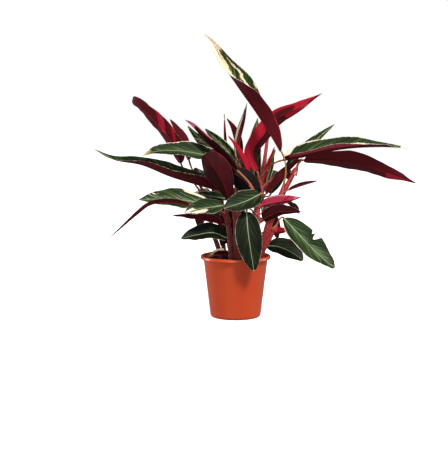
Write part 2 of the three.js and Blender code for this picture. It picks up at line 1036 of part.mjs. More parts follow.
// The petiole rises along its stalk and arrives in line with its blade's midrib.
function petioleCurve(stalk, leaf) {
  const share = shareAtHeight(stalk, leaf.leavesAt);
  const start = stalk.getPointAt(share);
  const midrib = midribCurve(leaf);
  const heading = midrib.getTangentAt(0);
  const end = midrib.getPointAt(0).addScaledVector(heading, -SEAT_GAP);
  const span = start.distanceTo(end);
  const rising = stalk.getTangentAt(share).multiplyScalar(PETIOLE_RISE * span).add(start);
  const arriving = end.clone().addScaledVector(heading, -PETIOLE_REACH * span);
  return new THREE.CubicBezierCurve3(start, rising, arriving, end);
}

function shootGeometry(shoot) {
  const curve = stalkCurve(shoot);
  const stalkRadius = (share) => shoot.radius * (1 - STALK_TOP_TAPER * Math.pow(share, 4));
  let solid = taperedTube(curve, STALK_STEPS, STALK_SIDES, stalkRadius);
  const own = LEAVES.filter((leaf) => leaf.shoot === shoot.name);
  for (const leaf of own) {
    const petiole = petioleCurve(curve, leaf);
    const radiusAt = (share) => petioleRadiusAt(leaf, share);
    solid = solid.add(taperedTube(petiole, PETIOLE_STEPS, PETIOLE_SIDES, radiusAt));
  }
  return solidGeometry(solid);
}

function midribCurve(leaf) {
  return new THREE.CatmullRomCurve3(leaf.route.map(vector));
}

function halfWidthAt(leaf, share) {
  const bias = Math.log(0.5) / Math.log(leaf.widest);
  const swing = Math.sin(Math.PI * Math.pow(share, bias));
  const outline = Math.pow(swing, share < leaf.widest ? BASE_ROUNDNESS : leaf.taper);
  return leaf.halfWidth * outline;
}

// The midrib's place, the directions across and out of the upper surface, and the half width.
function bladeStation(leaf, curve, share) {
  const centre = curve.getPointAt(share);
  const along = curve.getTangentAt(share);
  const face = vector(leaf.face[0]).lerp(vector(leaf.face[1]), share);
  const out = face.addScaledVector(along, -face.dot(along)).normalize();
  const across = along.clone().cross(out);
  const outline = halfWidthAt(leaf, share);
  const stub = THREE.MathUtils.lerp(BLADE_BASE_HALF_WIDTH, BLADE_TIP_HALF_WIDTH, share);
  const ease = Math.min(1, outline / (FOLD_EASE * leaf.halfWidth));
  return { centre, across, out, halfWidth: outline + stub, ease, share };
}

// A point of the upper surface, and the one under it, at a place from -1 to 1 across the blade.
function bladePair(leaf, station, place) {
  const side = Math.sign(place);
  const reach = Math.abs(place);
  const fold = radians(leaf.folds[side < 0 ? 0 : 1]) * station.ease;
  const curl = radians(leaf.curl) * station.ease;
  const lean = fold + (curl * reach) / 2;
  const phase = 2 * Math.PI * WAVES_PER_BLADE * station.share + side * WAVE_OFFSET;
  const ripple = leaf.wave * station.ease * reach * reach * Math.sin(phase);
  const span = station.halfWidth * reach;
  const upper = station.centre
    .clone()
    .addScaledVector(station.across, side * span * Math.cos(lean))
    .addScaledVector(station.out, span * Math.sin(lean) + ripple);
  const tilt = side === 0 ? 0 : fold + curl * reach;
  const lower = upper
    .clone()
    .addScaledVector(station.out, -BLADE_THICKNESS * Math.cos(tilt))
    .addScaledVector(station.across, side * BLADE_THICKNESS * Math.sin(tilt));
  return [upper, lower];
}

// The sheet's upper grid comes first, then the grid under it, joined round the edge.
function bladeGeometry(leaf) {
  const curve = midribCurve(leaf);
  const uppers = [];
  const lowers = [];
  for (let row = 0; row <= BLADE_ROWS; row += 1) {
    const share = (1 - Math.cos((Math.PI * row) / BLADE_ROWS)) / 2;
    const station = bladeStation(leaf, curve, share);
    for (let column = 0; column <= BLADE_COLUMNS; column += 1) {
      const [upper, lower] = bladePair(leaf, station, (2 * column) / BLADE_COLUMNS - 1);
      uppers.push(upper);
      lowers.push(lower);
    }
  }
  const geometry = new THREE.BufferGeometry().setFromPoints([...uppers, ...lowers]);
  geometry.setIndex(sheetTriangles(BLADE_COLUMNS, BLADE_ROWS));
  return geometry;
}

// Triangles of a closed sheet of columns by rows, cut along the same diagonals on both faces.
function sheetTriangles(columns, rows) {
  const upper = (column, row) => row * (columns + 1) + column;
  const lower = (column, row) => upper(column, row) + (columns + 1) * (rows + 1);
  const faces = [];
  const undersides = [];
  const walls = [];
  const quad = (list, a, b, c, d) => list.push(a, b, c, a, c, d);
  for (let row = 0; row < rows; row += 1) {
    for (let column = 0; column < columns; column += 1) {
      const right = column + 1;
      const next = row + 1;
      quad(faces, upper(column, row), upper(right, row), upper(right, next), upper(column, next));
      undersides.push(lower(column, row), lower(right, next), lower(right, row));
      undersides.push(lower(column, row), lower(column, next), lower(right, next));
    }
    quad(walls, upper(0, row), upper(0, row + 1), lower(0, row + 1), lower(0, row));
    const edge = columns;
    quad(walls, upper(edge, row), lower(edge, row), lower(edge, row + 1), upper(edge, row + 1));
  }
  for (let column = 0; column < columns; column += 1) {
    const right = column + 1;
    quad(walls, lower(column, 0), lower(right, 0), upper(right, 0), upper(column, 0));
    quad(walls, lower(column, rows), upper(column, rows), upper(right, rows), lower(right, rows));
  }
  return [...faces, ...undersides, ...walls];
}

const plant = new THREE.Group();
plant.add(namedMesh("pot", potGeometry(), "terracotta"));
plant.add(namedMesh("soil", soilGeometry(), "soil"));
for (const shoot of SHOOTS) {
  plant.add(namedMesh(shoot.name, shootGeometry(shoot), "stalk"));
}
for (const leaf of LEAVES) {
  plant.add(namedMesh(leaf.name, bladeGeometry(leaf), leaf.tone));
}

export default plant;
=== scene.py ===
"""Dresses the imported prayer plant: a nursery pot, its soil, ten shoots and their long leaves.

Every piece rides on the body "root" and takes the place of the plain solid of the same name.
The plant's sizes are in millimetres, as in the plain model, and finished meshes are in metres.
"""
import logging
import math
import random
from bisect import bisect_right
from dataclasses import dataclass, field
from enum import Enum
from functools import partial
from typing import Callable, Iterable, Optional, Sequence, Union

import bmesh
import bpy
from bmesh.types import BMEdge, BMesh, BMVert
from mathutils import Euler, Matrix, Vector, noise


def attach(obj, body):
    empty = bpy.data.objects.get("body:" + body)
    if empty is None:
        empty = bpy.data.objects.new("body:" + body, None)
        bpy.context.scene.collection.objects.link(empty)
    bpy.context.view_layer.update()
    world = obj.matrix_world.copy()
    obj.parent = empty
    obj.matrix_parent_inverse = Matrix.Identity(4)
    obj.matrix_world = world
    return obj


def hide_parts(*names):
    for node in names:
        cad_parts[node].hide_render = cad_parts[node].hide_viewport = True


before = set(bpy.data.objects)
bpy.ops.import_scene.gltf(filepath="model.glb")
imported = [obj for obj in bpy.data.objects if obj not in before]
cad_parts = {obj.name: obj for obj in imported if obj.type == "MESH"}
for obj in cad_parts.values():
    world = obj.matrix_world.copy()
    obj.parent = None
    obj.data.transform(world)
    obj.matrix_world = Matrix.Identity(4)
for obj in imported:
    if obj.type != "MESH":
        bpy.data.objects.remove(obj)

LOG = logging.getLogger("plant")
MM = 0.001
MERGED = 0.001
SEED_STEP = 3.7
BODY = "root"

Triple = tuple[float, float, float]
Colour = tuple[float, float, float, float]
Input = Union["Value", float, int, Sequence[float]]
Key = Union[str, int]


def srgb(*screen: int) -> Colour:
    """Turn a screen colour into a linear one.

    Args:
        screen: Its red, green and blue, from 0 to 255.

    Returns:
        The linear colour with full alpha.
    """
    shares = [value / 255 for value in screen]
    red, green, blue = (
        share / 12.92 if share <= 0.04045 else ((share + 0.055) / 1.055) ** 2.4
        for share in shares
    )
    return (red, green, blue, 1.0)


def clamped(value: float) -> float:
    """Keep a value from 0 to 1."""
    return min(1.0, max(0.0, value))


# --- Shader building -------------------------------------------------------------------------


@dataclass(frozen=True)
class Value:
    """An output socket that takes part in Python expressions."""

    shader: "Shader"
    socket: bpy.types.NodeSocket

    def math(self, operation: str, *others: Input) -> "Value":
        """Add a Math node with this value as its first input."""
        return self.shader.calculate(operation, self, *others)

    def __add__(self, other: Input) -> "Value":
        """Add another value."""
        return self.math("ADD", other)

    def __sub__(self, other: Input) -> "Value":
        """Take another value away."""
        return self.math("SUBTRACT", other)

    def __mul__(self, other: Input) -> "Value":
        """Multiply by another value."""
        return self.math("MULTIPLY", other)

    def __rsub__(self, other: Input) -> "Value":
        """Take this value away from a number."""
        return self.shader.calculate("SUBTRACT", other, self)

    __radd__ = __add__
    __rmul__ = __mul__

    def absolute(self) -> "Value":
        """Give the size without its sign."""
        return self.math("ABSOLUTE")

    def step(self, low: float, high: float) -> "Value":
        """Rise smoothly from 0 at low to 1 at high."""
        inputs = {"Value": self, "From Min": low, "From Max": high}
        return self.shader.node("MapRange", {"interpolation_type": "SMOOTHSTEP"}, inputs)


class Shader:
    """A material's node tree, built by expressions."""

    MIX_FACTOR, MIX_FIRST, MIX_SECOND, MIXED = 0, 6, 7, 2

    def __init__(self, name: str) -> None:
        """Start an empty material.

        Args:
            name: The material's name.
        """
        self.material = bpy.data.materials.new(name)
        self.material.use_nodes = True
        self.tree = self.material.node_tree
        self.tree.nodes.clear()

    def node(
        self,
        kind: str,
        settings: Optional[dict[str, object]] = None,
        inputs: Optional[dict[Key, Input]] = None,
        output: Key = 0,
    ) -> Value:
        """Add one node.

        Args:
            kind: The node's type, without the words that all types start with.
            settings: Properties that are set before the sockets.
            inputs: Values or links by socket name or number.
            output: The output socket that is wanted.

        Returns:
            The wanted output, or an input of a node that has no outputs.
        """
        made = self.tree.nodes.new("ShaderNode" + kind)
        for key, setting in (settings or {}).items():
            setattr(made, key, setting)
        for key, given in (inputs or {}).items():
            if isinstance(given, Value):
                self.tree.links.new(given.socket, made.inputs[key])
            else:
                made.inputs[key].default_value = given
        return Value(self, (made.outputs or made.inputs)[output])

    def calculate(self, operation: str, *values: Input) -> Value:
        """Add a Math node."""
        return self.node("Math", {"operation": operation}, dict(enumerate(values)))

    def measure(self, operation: str, *vectors: Input) -> Value:
        """Reduce vectors to a number with a Vector Math node."""
        settings = {"operation": operation}
        return self.node("VectorMath", settings, dict(enumerate(vectors)), "Value")

    def attribute(self, name: str) -> Value:
        """Read a number that the mesh carries."""
        return self.node("Attribute", {"attribute_name": name}, None, "Fac")

    def mix(self, factor: Input, first: Input, second: Input) -> Value:
        """Blend two colours, from the first at 0 to the second at 1."""
        inputs = {self.MIX_FACTOR: factor, self.MIX_FIRST: first, self.MIX_SECOND: second}
        return self.node("Mix", {"data_type": "RGBA", "clamp_factor": True}, inputs, self.MIXED)

    def place(self, scale: Triple = (1, 1, 1)) -> Value:
        """Give the point's place in the object's own space, stretched along X, Y and Z."""
        point = self.node("TexCoord", None, None, "Object")
        return self.node("Mapping", None, {"Vector": point, "Scale": scale})

    def noise(self, vector: Value, scale: float, detail: float = 2.0, rough: float = 0.5) -> Value:
        """Read noise from 0 to 1 at a place, by its scale, its octaves and their strength."""
        inputs = {"Vector": vector, "Scale": scale, "Detail": detail, "Roughness": rough}
        return self.node("TexNoise", None, inputs, "Fac")

    def bump(self, height: Value, distance: float, strength: float) -> Value:
        """Turn a height, whose size is in metres, into a bent normal."""
        inputs = {"Height": height, "Distance": distance, "Strength": strength}
        return self.node("Bump", None, inputs)

    def finish(
        self, colour: Input, roughness: Input, specular: float, others: dict[Key, Input]
    ) -> bpy.types.Material:
        """Close the material with its surface shader.

        Args:
            colour: Base colour.
            roughness: Roughness.
            specular: The level of its plain reflection.
            others: More inputs of the surface shader.

        Returns:
            The finished material.
        """
        inputs = {"Base Color": colour, "Roughness": roughness, "Specular IOR Level": specular}
        surface = self.node("BsdfPrincipled", None, inputs | others)
        self.node("OutputMaterial", None, {"Surface": surface})
        return self.material


# --- Finishes --------------------------------------------------------------------------------


@dataclass(frozen=True)
class PotFinish:
    """Satin terracotta-coloured plastic with faint mould flow, scuffs and painted shade on its
    inside.
    """

    body: Colour = srgb(216, 80, 36)
    deep: Colour = srgb(202, 69, 30)
    dust: Colour = srgb(218, 98, 62)
    # The dark brown of the painted shade on the pot's inside wall.
    inside_shadow: Colour = srgb(44, 30, 22)
    inner_base: float = 0.0588
    inner_slope: float = 0.1231
    roughness: float = 0.3

    def material(self) -> bpy.types.Material:
        """Build the material.

        Returns:
            The material.
        """
        shader = Shader("pot_plastic")
        flow = shader.noise(shader.place((1, 1, 0.25)), 9, 3, 0.55)
        grain = shader.noise(shader.place(), 900, 2, 0.6)
        scuffs = shader.noise(shader.place((1, 1, 6)), 60, 3, 0.6)
        height = shader.measure("DOT_PRODUCT", shader.place(), (0, 0, 1))
        reach = shader.measure("LENGTH", shader.place((1, 1, 0)))
        wall = height * self.inner_slope + self.inner_base
        inside = 1 - (reach - wall).step(-0.0006, 0.0004)
        colour = shader.mix(flow.step(0.35, 0.7), self.body, self.deep)
        colour = shader.mix(scuffs.step(0.62, 0.8) * 0.22, colour, self.dust)
        # Painted shade: the inside wall is mixed towards dark brown, because the hollow under the
        # plant lies in shade.
        colour = shader.mix(inside * 0.9, colour, self.inside_shadow)
        roughness = self.roughness + scuffs.step(0.5, 0.8) * 0.14
        relief = shader.bump(grain * 0.35 + flow * 0.65, 0.0003, 0.25)
        return shader.finish(colour, roughness, 0.45, {"Normal": relief})


@dataclass(frozen=True)
class SoilFinish:
    """Damp peat with paler fibres."""

    dark: Colour = srgb(24, 17, 13)
    brown: Colour = srgb(58, 41, 30)
    fibre: Colour = srgb(104, 80, 58)
    roughness: float = 0.92

    def material(self) -> bpy.types.Material:
        """Build the material.

        Returns:
            The material.
        """
        shader = Shader("potting_soil")
        clod = shader.noise(shader.place(), 120, 4, 0.6)
        fleck = shader.noise(shader.place((1, 2.5, 1)), 420, 2, 0.5)
        colour = shader.mix(clod.step(0.35, 0.7), self.dark, self.brown)
        colour = shader.mix(fleck.step(0.63, 0.72) * 0.6, colour, self.fibre)
        relief = shader.bump(clod + fleck * 0.4, 0.002, 0.8)
        return shader.finish(colour, self.roughness, 0.25, {"Normal": relief})


@dataclass(frozen=True)
class StalkFinish:
    """Red sheathed stalks with pale dry streaks and painted shade, turning ochre along the
    petioles.
    """

    crimson: Colour = srgb(184, 48, 58)
    # The dark red serves both the stalks' own dark streaks and their painted shade.
    dark: Colour = srgb(84, 26, 22)
    pale: Colour = srgb(226, 158, 128)
    ochre: Colour = srgb(190, 136, 70)
    olive: Colour = srgb(112, 108, 52)
    roughness: float = 0.38

    def material(self) -> bpy.types.Material:
        """Build the material.

        Returns:
            The material.
        """
        shader = Shader("stalk_skin")
        petiole, shade, fray = (shader.attribute(name) for name in Shoot.ATTRIBUTES)
        streaks = shader.noise(shader.place((9, 9, 0.5)), 34, 3, 0.6)
        fine = shader.noise(shader.place((10, 10, 0.35)), 120, 2, 0.5)
        colour = shader.mix(streaks.step(0.32, 0.74) * 0.72, self.crimson, self.dark)
        # Painted shade: each stalk's shade value is strongest near its foot. It mixes the skin
        # towards the dark red and thins its pale streaks.
        colour = shader.mix(shade, colour, self.dark)
        colour = shader.mix(fine.step(0.54, 0.76) * (1 - shade) * 0.6, colour, self.pale)
        colour = shader.mix((fray + (fine - 0.5) * 0.6).step(0.5, 0.9) * 0.8, colour, self.pale)
        stem = shader.mix(streaks.step(0.4, 0.7), self.ochre, self.olive)
        colour = shader.mix(petiole, colour, stem)
        relief = shader.bump(fine, 0.0006, 0.6)
        return shader.finish(colour, self.roughness + fine * 0.25, 0.3, {"Normal": relief})


@dataclass(frozen=True)
class BladeFinish:
    """The colours of the variegated leaves: greens and creams above, reds below, and near black
    for painted shadow.
    """

    forest: Colour = srgb(14, 20, 9)
    leaf: Colour = srgb(28, 47, 20)
    shaded: Colour = srgb(27, 38, 19)
    # The lightest green: partly the leaves' own light green, partly painted light on brightly lit
    # blades.
    fresh_and_lit: Colour = srgb(76, 108, 44)
    sage: Colour = srgb(128, 148, 102)
    midrib: Colour = srgb(172, 188, 142)
    cream: Colour = srgb(250, 232, 206)
    blush: Colour = srgb(230, 160, 146)
    rim: Colour = srgb(224, 208, 180)
    burgundy: Colour = srgb(94, 20, 28)
    wine: Colour = srgb(42, 9, 13)
    # Near black for the painted shadow deep inside the plant.
    shadow_black: Colour = srgb(16, 7, 10)
    crimson: Colour = srgb(170, 15, 36)
    rose: Colour = srgb(186, 62, 86)
    pink: Colour = srgb(214, 116, 140)
    dry: Colour = srgb(206, 178, 132)
    scorched: Colour = srgb(104, 72, 46)

    def skins(self) -> list[bpy.types.Material]:
        """Build the skins of the upper face and of the underside."""
        upper, under = (BladeSkin(side, self) for side in BladeSide)
        return [upper.upper(), under.under()]


class BladeSide(Enum):
    """The two faces of a leaf blade, with their material slots."""

    UPPER = 0
    UNDER = 1


class BladeSkin(Shader):
    """One face of the blades, painted along the side veins by the blades' own attributes."""

    def __init__(self, side: BladeSide, finish: BladeFinish) -> None:
        """Start a skin.

        Args:
            side: The blades' face.
            finish: Its colours.
        """
        super().__init__(f"blade_{side.name.lower()}")
        self.palette = finish
        self.across = self.attribute("across")
        self.reach = self.across.absolute()
        self.edge = self.reach.step(0.955, 0.985)
        self.fresh_and_lit = self.attribute("fresh_and_lit")
        self.vein = self.attribute("vein")

    def along_veins(self, pace: float, width: float, offset: float) -> Value:
        """Spread noise along the side veins, with a pattern of its own in each half.

        Args:
            pace: How fast it changes from vein to vein, per millimetre.
            width: How fast it changes from the midrib to the margin.
            offset: Where in the noise it is read.

        Returns:
            A value from 0 to 1.
        """
        half = self.across.step(-0.02, 0.02) * 7.3
        seed = self.attribute("seed") + half + offset
        inputs = {"X": self.vein * pace, "Y": self.reach * width, "Z": seed}
        return self.noise(self.node("CombineXYZ", None, inputs), 1)

    def variegation(self) -> Value:
        """Mark where the blade lacks green, in bold sectors edged by the side veins.

        Returns:
            1 where the blade is cream.
        """
        bold = self.along_veins(0.03, 0.9, 0)
        thin = self.along_veins(0.35, 0.5, 3)
        tendency = self.attribute("cream") + (bold - 0.5) * 1.6 + (thin - 0.5) * 0.9
        return tendency.step(0.45, 0.55)

    def relief(self, fine: float) -> Value:
        """Raise the skin between the side veins.

        Args:
            fine: How strong the finest veins are.

        Returns:
            The bent normal.
        """
        ribs = (self.vein * 2.3).math("SINE") * 0.4 + (self.vein * 5.9).math("SINE") * fine
        ribs = ribs * (1 - self.attribute("along").step(0.55, 0.9) * 0.8)
        pores = self.noise(self.place(), 1500)
        return self.bump(ribs + pores * 0.3, 0.0005, 0.45)

    def dried(self, colour: Value) -> Value:
        """Turn the dry parts tan and blotch them brown.

        Args:
            colour: The living colour.

        Returns:
            The colour with its dry parts.
        """
        husk = self.noise(self.place(), 90, 3, 0.6)
        tan = self.mix(husk.step(0.4, 0.65), self.palette.dry, self.palette.scorched)
        crackle = self.noise(self.place(), 260, 3, 0.6)
        dryness = (self.attribute("dry") + (crackle - 0.5) * 0.5).step(0.42, 0.6)
        return self.mix(dryness, colour, tan)

    def upper(self) -> bpy.types.Material:
        """Build the upper skin: dark green, streaked with sage and edged with cream.

        Returns:
            The material.
        """
        inks, light = self.palette, self.fresh_and_lit
        feather = self.along_veins(0.11, 0.6, 1)
        hair = self.along_veins(0.7, 0.5, 2)
        streak = self.along_veins(0.3, 0.8, 4)
        # Painted light and shade: the blade's light level moves both greens from dark to light and
        # strengthens the sage streaks.
        deep = self.mix(light, inks.forest, inks.leaf)
        lit = self.mix(light, inks.shaded, inks.fresh_and_lit)
        tide = (feather + (streak - 0.5) * 0.7 + (hair - 0.5) * 0.4).step(0.34, 0.78)
        green = self.mix(tide * 0.85, deep, lit)
        near_rib = 1 - self.reach.step(0.02, 0.75)
        sage = (streak + near_rib * 0.2 + (hair - 0.5) * 0.4).step(0.62, 0.8)
        green = self.mix(sage * (light * 1.1 + 0.1), green, inks.sage)
        margin = (self.reach + (feather - 0.5) * 0.4).step(0.8, 1.05)
        cream = self.mix(margin * 0.3, inks.cream, inks.blush)
        cream = self.mix((streak - 0.5) * 0.15, cream, inks.sage)
        colour = self.mix(self.variegation(), green, cream)
        narrowing = self.attribute("offset") + self.attribute("along") * 0.8
        rib = 1 - narrowing.step(0.8, 1.5)
        colour = self.mix(rib * 0.8, colour, inks.midrib)
        edge = self.edge * (feather + streak).step(0.75, 1.2)
        colour = self.dried(self.mix(edge * 0.8, colour, inks.rim))
        return self.finish(colour, 0.36 + feather * 0.16, 0.1, {"Normal": self.relief(0.16)})

    def under(self) -> bpy.types.Material:
        """Build the underside: wine and burgundy with bold crimson sectors, going near black as
        painted shadow.

        Returns:
            The material.
        """
        inks, blush = self.palette, self.attribute("blush")
        bold = self.along_veins(0.03, 0.7, 5)
        hair = self.along_veins(0.5, 0.4, 6)
        fine = self.along_veins(1.3, 0.3, 8)
        # The blade's light level also deepens or lifts the reds: painted light and shade.
        depth = hair * 0.5 + (bold - 0.5) * 1.1 + self.fresh_and_lit * 0.9 + (fine - 0.5) * 0.5
        dark = self.mix(depth.step(0.15, 0.95), inks.wine, inks.burgundy)
        # Painted shadow: blades with a very low light level go near black, as if deep in the
        # plant's shade.
        shadow_amount = (0 - self.fresh_and_lit).step(0.25, 0.65)
        dark = self.mix(shadow_amount, dark, inks.shadow_black)
        bright = self.mix((hair + blush * 0.4 - 0.5).step(0.3, 0.8), inks.crimson, inks.rose)
        glow = (blush + (bold - 0.5) * 0.9 + (hair - 0.5) * 0.4).step(0.45, 0.6)
        pale = self.attribute("cream").step(0.85, 1.1) * blush.step(0.8, 1.1)
        colour = self.mix(glow, dark, self.mix(pale, bright, inks.pink))
        rib = 1 - self.attribute("offset").step(0.5, 1.3)
        colour = self.mix(rib * 0.15, colour, inks.crimson)
        colour = self.dried(self.mix(self.edge * 0.3, colour, inks.rose))
        return self.finish(colour, 0.4 + hair * 0.14, 0.09, {"Normal": self.relief(0.2)})


@dataclass(frozen=True)
class StageFinish:
    """The plain pale floor, which fades to the backdrop's white away from the pot."""

    white: Colour = (0.92, 0.92, 0.92, 1.0)
    near: Colour = (0.8, 0.8, 0.8, 1.0)
    far: Colour = (1.0, 1.0, 1.0, 1.0)
    roughness: float = 0.9

    def material(self) -> bpy.types.Material:
        """Build the material.

        Returns:
            The material.
        """
        shader = Shader("stage_paper")
        distance = shader.measure("LENGTH", shader.place())
        glow = shader.mix(distance.step(0.35, 1.6), self.near, self.far)
        light = {"Emission Color": glow, "Emission Strength": 1.0}
        return shader.finish(self.white, self.roughness, 0.0, light)


# --- Curves ----------------------------------------------------------------------------------


class Path:
    """A curve sampled finely enough to be read by its length."""

    SAMPLES = 240
    HALVINGS = 20

    def __init__(self, point_at: Callable[[float], Vector]) -> None:
        """Sample a curve.

        Args:
            point_at: The curve's point at a place from 0 to 1.
        """
        self.points = [point_at(index / self.SAMPLES) for index in range(self.SAMPLES + 1)]
        self.lengths = [0.0]
        for first, second in zip(self.points, self.points[1:]):
            self.lengths.append(self.lengths[-1] + (second - first).length)

    @property
    def length(self) -> float:
        """The curve's whole length."""
        return self.lengths[-1]

    def index_at(self, share: float) -> tuple[int, float]:
        """Find a share of the length among the samples.

        Args:
            share: From 0 at the start to 1 at the end.

        Returns:
            The sample before it, and how far it lies towards the next.
        """
        target = clamped(share) * self.length
        low = min(bisect_right(self.lengths, target), self.SAMPLES) - 1
        span = self.lengths[low + 1] - self.lengths[low]
        return low, (target - self.lengths[low]) / span

    def at(self, share: float) -> Vector:
        """Give the point at a share of the length."""
        index, rest = self.index_at(share)
        return self.points[index].lerp(self.points[index + 1], rest)

    def heading(self, share: float) -> Vector:
        """Give the direction at a share of the length, smoothed over its neighbours.

        Args:
            share: From 0 at the start to 1 at the end.

        Returns:
            The direction, one long.
        """
        index, rest = self.index_at(share)
        before = self.points[max(index - 1, 0)].lerp(self.points[index], rest)
        after = self.points[index + 1].lerp(self.points[min(index + 2, self.SAMPLES)], rest)
        if share <= 0.0 or share >= 1.0:
            before, after = self.points[index], self.points[index + 1]
        return (after - before).normalized()

    def share_at_height(self, height: float) -> float:
        """Find where a rising curve reaches a height.

        Args:
            height: The height.

        Returns:
            The share of the length.
        """
        low, high = 0.0, 1.0
        for _ in range(self.HALVINGS):
            middle = (low + high) / 2
            if self.at(middle).z < height:
                low = middle
            else:
                high = middle
        return (low + high) / 2


def routed(points: Sequence[Sequence[float]]) -> Path:
    """Run a smooth curve through points, its bends paced by the distances between them.

    Args:
        points: The points, in order.

    Returns:
        The curve.
    """
    knots = [Vector(point) for point in points]
    knots.insert(0, 2 * knots[0] - knots[1])
    knots.append(2 * knots[-1] - knots[-2])
    spans = len(points) - 1

    def point_at(place: float) -> Vector:
        """Blend the span's ends with the directions in which the curve leaves and reaches them.

        Args:
            place: From 0 to 1.

        Returns:
            The point.
        """
        index = min(int(place * spans), spans - 1)
        local = place * spans - index
        knot = knots[index : index + 4]
        first, middle, last = (math.sqrt((b - a).length) for a, b in zip(knot, knot[1:]))
        before, start, end, after = knot
        leaving = (start - before) / first - (end - before) / (first + middle)
        leaving = (leaving + (end - start) / middle) * middle
        reaching = (end - start) / middle - (after - start) / (middle + last)
        reaching = (reaching + (after - end) / last) * middle
        square, cube = local**2, local**3
        return (
            start * (2 * cube - 3 * square + 1)
            + end * (3 * square - 2 * cube)
            + leaving * (cube - 2 * square + local)
            + reaching * (cube - square)
        )

    return Path(point_at)


def arched(start: Vector, rising: Vector, arriving: Vector, end: Vector) -> Path:
    """Draw a curve that leaves start towards rising and meets end from arriving.

    Args:
        start: The first point.
        rising: The first handle.
        arriving: The second handle.
        end: The last point.

    Returns:
        The curve.
    """

    def point_at(place: float) -> Vector:
        """Give the point at a place from 0 to 1."""
        rest, pull = 1 - place, 3 * place * (1 - place)
        return start * rest**3 + (rising * rest + arriving * place) * pull + end * place**3

    return Path(point_at)


# --- Mesh helpers ----------------------------------------------------------------------------


@dataclass
class Stations:
    """A path's stations with directions that turn as little as they can."""

    path: Path
    steps: int
    end: float = 1.0
    lead: Optional[Vector] = None

    def frames(self) -> list[Matrix]:
        """Work out each station's frame.

        Returns:
            Matrices whose Z looks along the path and whose X follows the lead.
        """
        found: list[Matrix] = []
        lead = self.lead or self.path.heading(0).orthogonal()
        for index in range(self.steps + 1):
            share = self.end * index / self.steps
            along = self.path.heading(share)
            lead = (lead - along * lead.dot(along)).normalized()
            turn = Matrix((lead, along.cross(lead), along)).transposed().to_4x4()
            found.append(Matrix.Translation(self.path.at(share)) @ turn)
        return found


def vertices_of(geometry: Iterable) -> list[BMVert]:
    """Pick the vertices out of an operator's result."""
    return [item for item in geometry if isinstance(item, BMVert)]


def swept(
    mesh: BMesh,
    stations: Stations,
    sides: int,
    radius_at: Callable[[float], float],
    ridge: float = 0.0,
) -> list[tuple[float, list[BMVert]]]:
    """Sweep a ring along a path by extruding it from station to station.

    Args:
        mesh: Where the closed tube goes.
        stations: The path's stations.
        sides: The ring's sides.
        radius_at: The radius at a share of the way.
        ridge: How far every other side stands in.

    Returns:
        Each ring's share of the way and its vertices.
    """
    ring = bmesh.ops.create_circle(mesh, cap_ends=True, radius=1, segments=sides)["verts"]
    for vert in ring[1::2]:
        vert.co *= 1 - ridge
    edges = list(ring[0].link_faces[0].edges)
    placed = Matrix()
    rings: list[tuple[float, list[BMVert]]] = []
    for index, station in enumerate(stations.frames()):
        share = index / stations.steps
        if index:
            grown = bmesh.ops.extrude_edge_only(mesh, edges=edges)["geom"]
            ring = vertices_of(grown)
            edges = [item for item in grown if isinstance(item, BMEdge)]
        radius = radius_at(share)
        target = station @ Matrix.Diagonal((radius, radius, 1.0, 1.0))
        bmesh.ops.transform(mesh, matrix=target @ placed.inverted(), verts=ring)
        placed = target
        rings.append((share, ring))
    bmesh.ops.contextual_create(mesh, geom=edges)
    return rings


def turned(profile: Sequence[tuple[float, float]], turns: int) -> BMesh:
    """Turn a section about the Z axis into a closed shape.

    Args:
        profile: Radii and heights, from the axis round to the axis.
        turns: The steps of the turn.

    Returns:
        The shape.
    """
    mesh = bmesh.new()
    points = [mesh.verts.new((radius, 0, height)) for radius, height in profile]
    edges = [mesh.edges.new(pair) for pair in zip(points, points[1:])]
    bmesh.ops.spin(
        mesh,
        geom=points + edges,
        cent=(0, 0, 0),
        axis=(0, 0, 1),
        angle=math.tau,
        steps=turns,
        use_merge=True,
    )
    bmesh.ops.remove_doubles(mesh, verts=mesh.verts, dist=MERGED)
    return mesh


def linked(name: str, data: Optional[bpy.types.ID]) -> bpy.types.Object:
    """Show data in the scene.

    Args:
        name: The object's name.
        data: What it shows.

    Returns:
        The object.
    """
    made = bpy.data.objects.new(name, data)
    bpy.context.scene.collection.objects.link(made)
    return made


def meshed(name: str, mesh: BMesh) -> bpy.types.Object:
    """Turn a shape into an object.

    Args:
        name: The object's name.
        mesh: The shape, which is freed.

    Returns:
        The object.
    """
    data = bpy.data.meshes.new(name)
    mesh.to_mesh(data)
    mesh.free()
    return linked(name, data)


def finished(
    name: str, mesh: BMesh, materials: Sequence[bpy.types.Material], node: str, slot: str
) -> None:
    """Close a piece: turn its faces outwards, smooth it and let it ride on the plant's body.

    Args:
        name: The piece's name.
        mesh: Its shape, in millimetres.
        materials: Its materials in slot order.
        node: The plain solid that it stands for.
        slot: The record's finish; not used.
    """
    bmesh.ops.scale(mesh, vec=(MM, MM, MM), verts=mesh.verts)
    bmesh.ops.recalc_face_normals(mesh, faces=mesh.faces)
    for face in mesh.faces:
        face.smooth = True
    piece = meshed(name, mesh)
    for material in materials:
        piece.data.materials.append(material)
    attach(piece, BODY)
    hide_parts(node)
    LOG.info("%s: %d faces", name, len(piece.data.polygons))


# --- Pot and soil ----------------------------------------------------------------------------


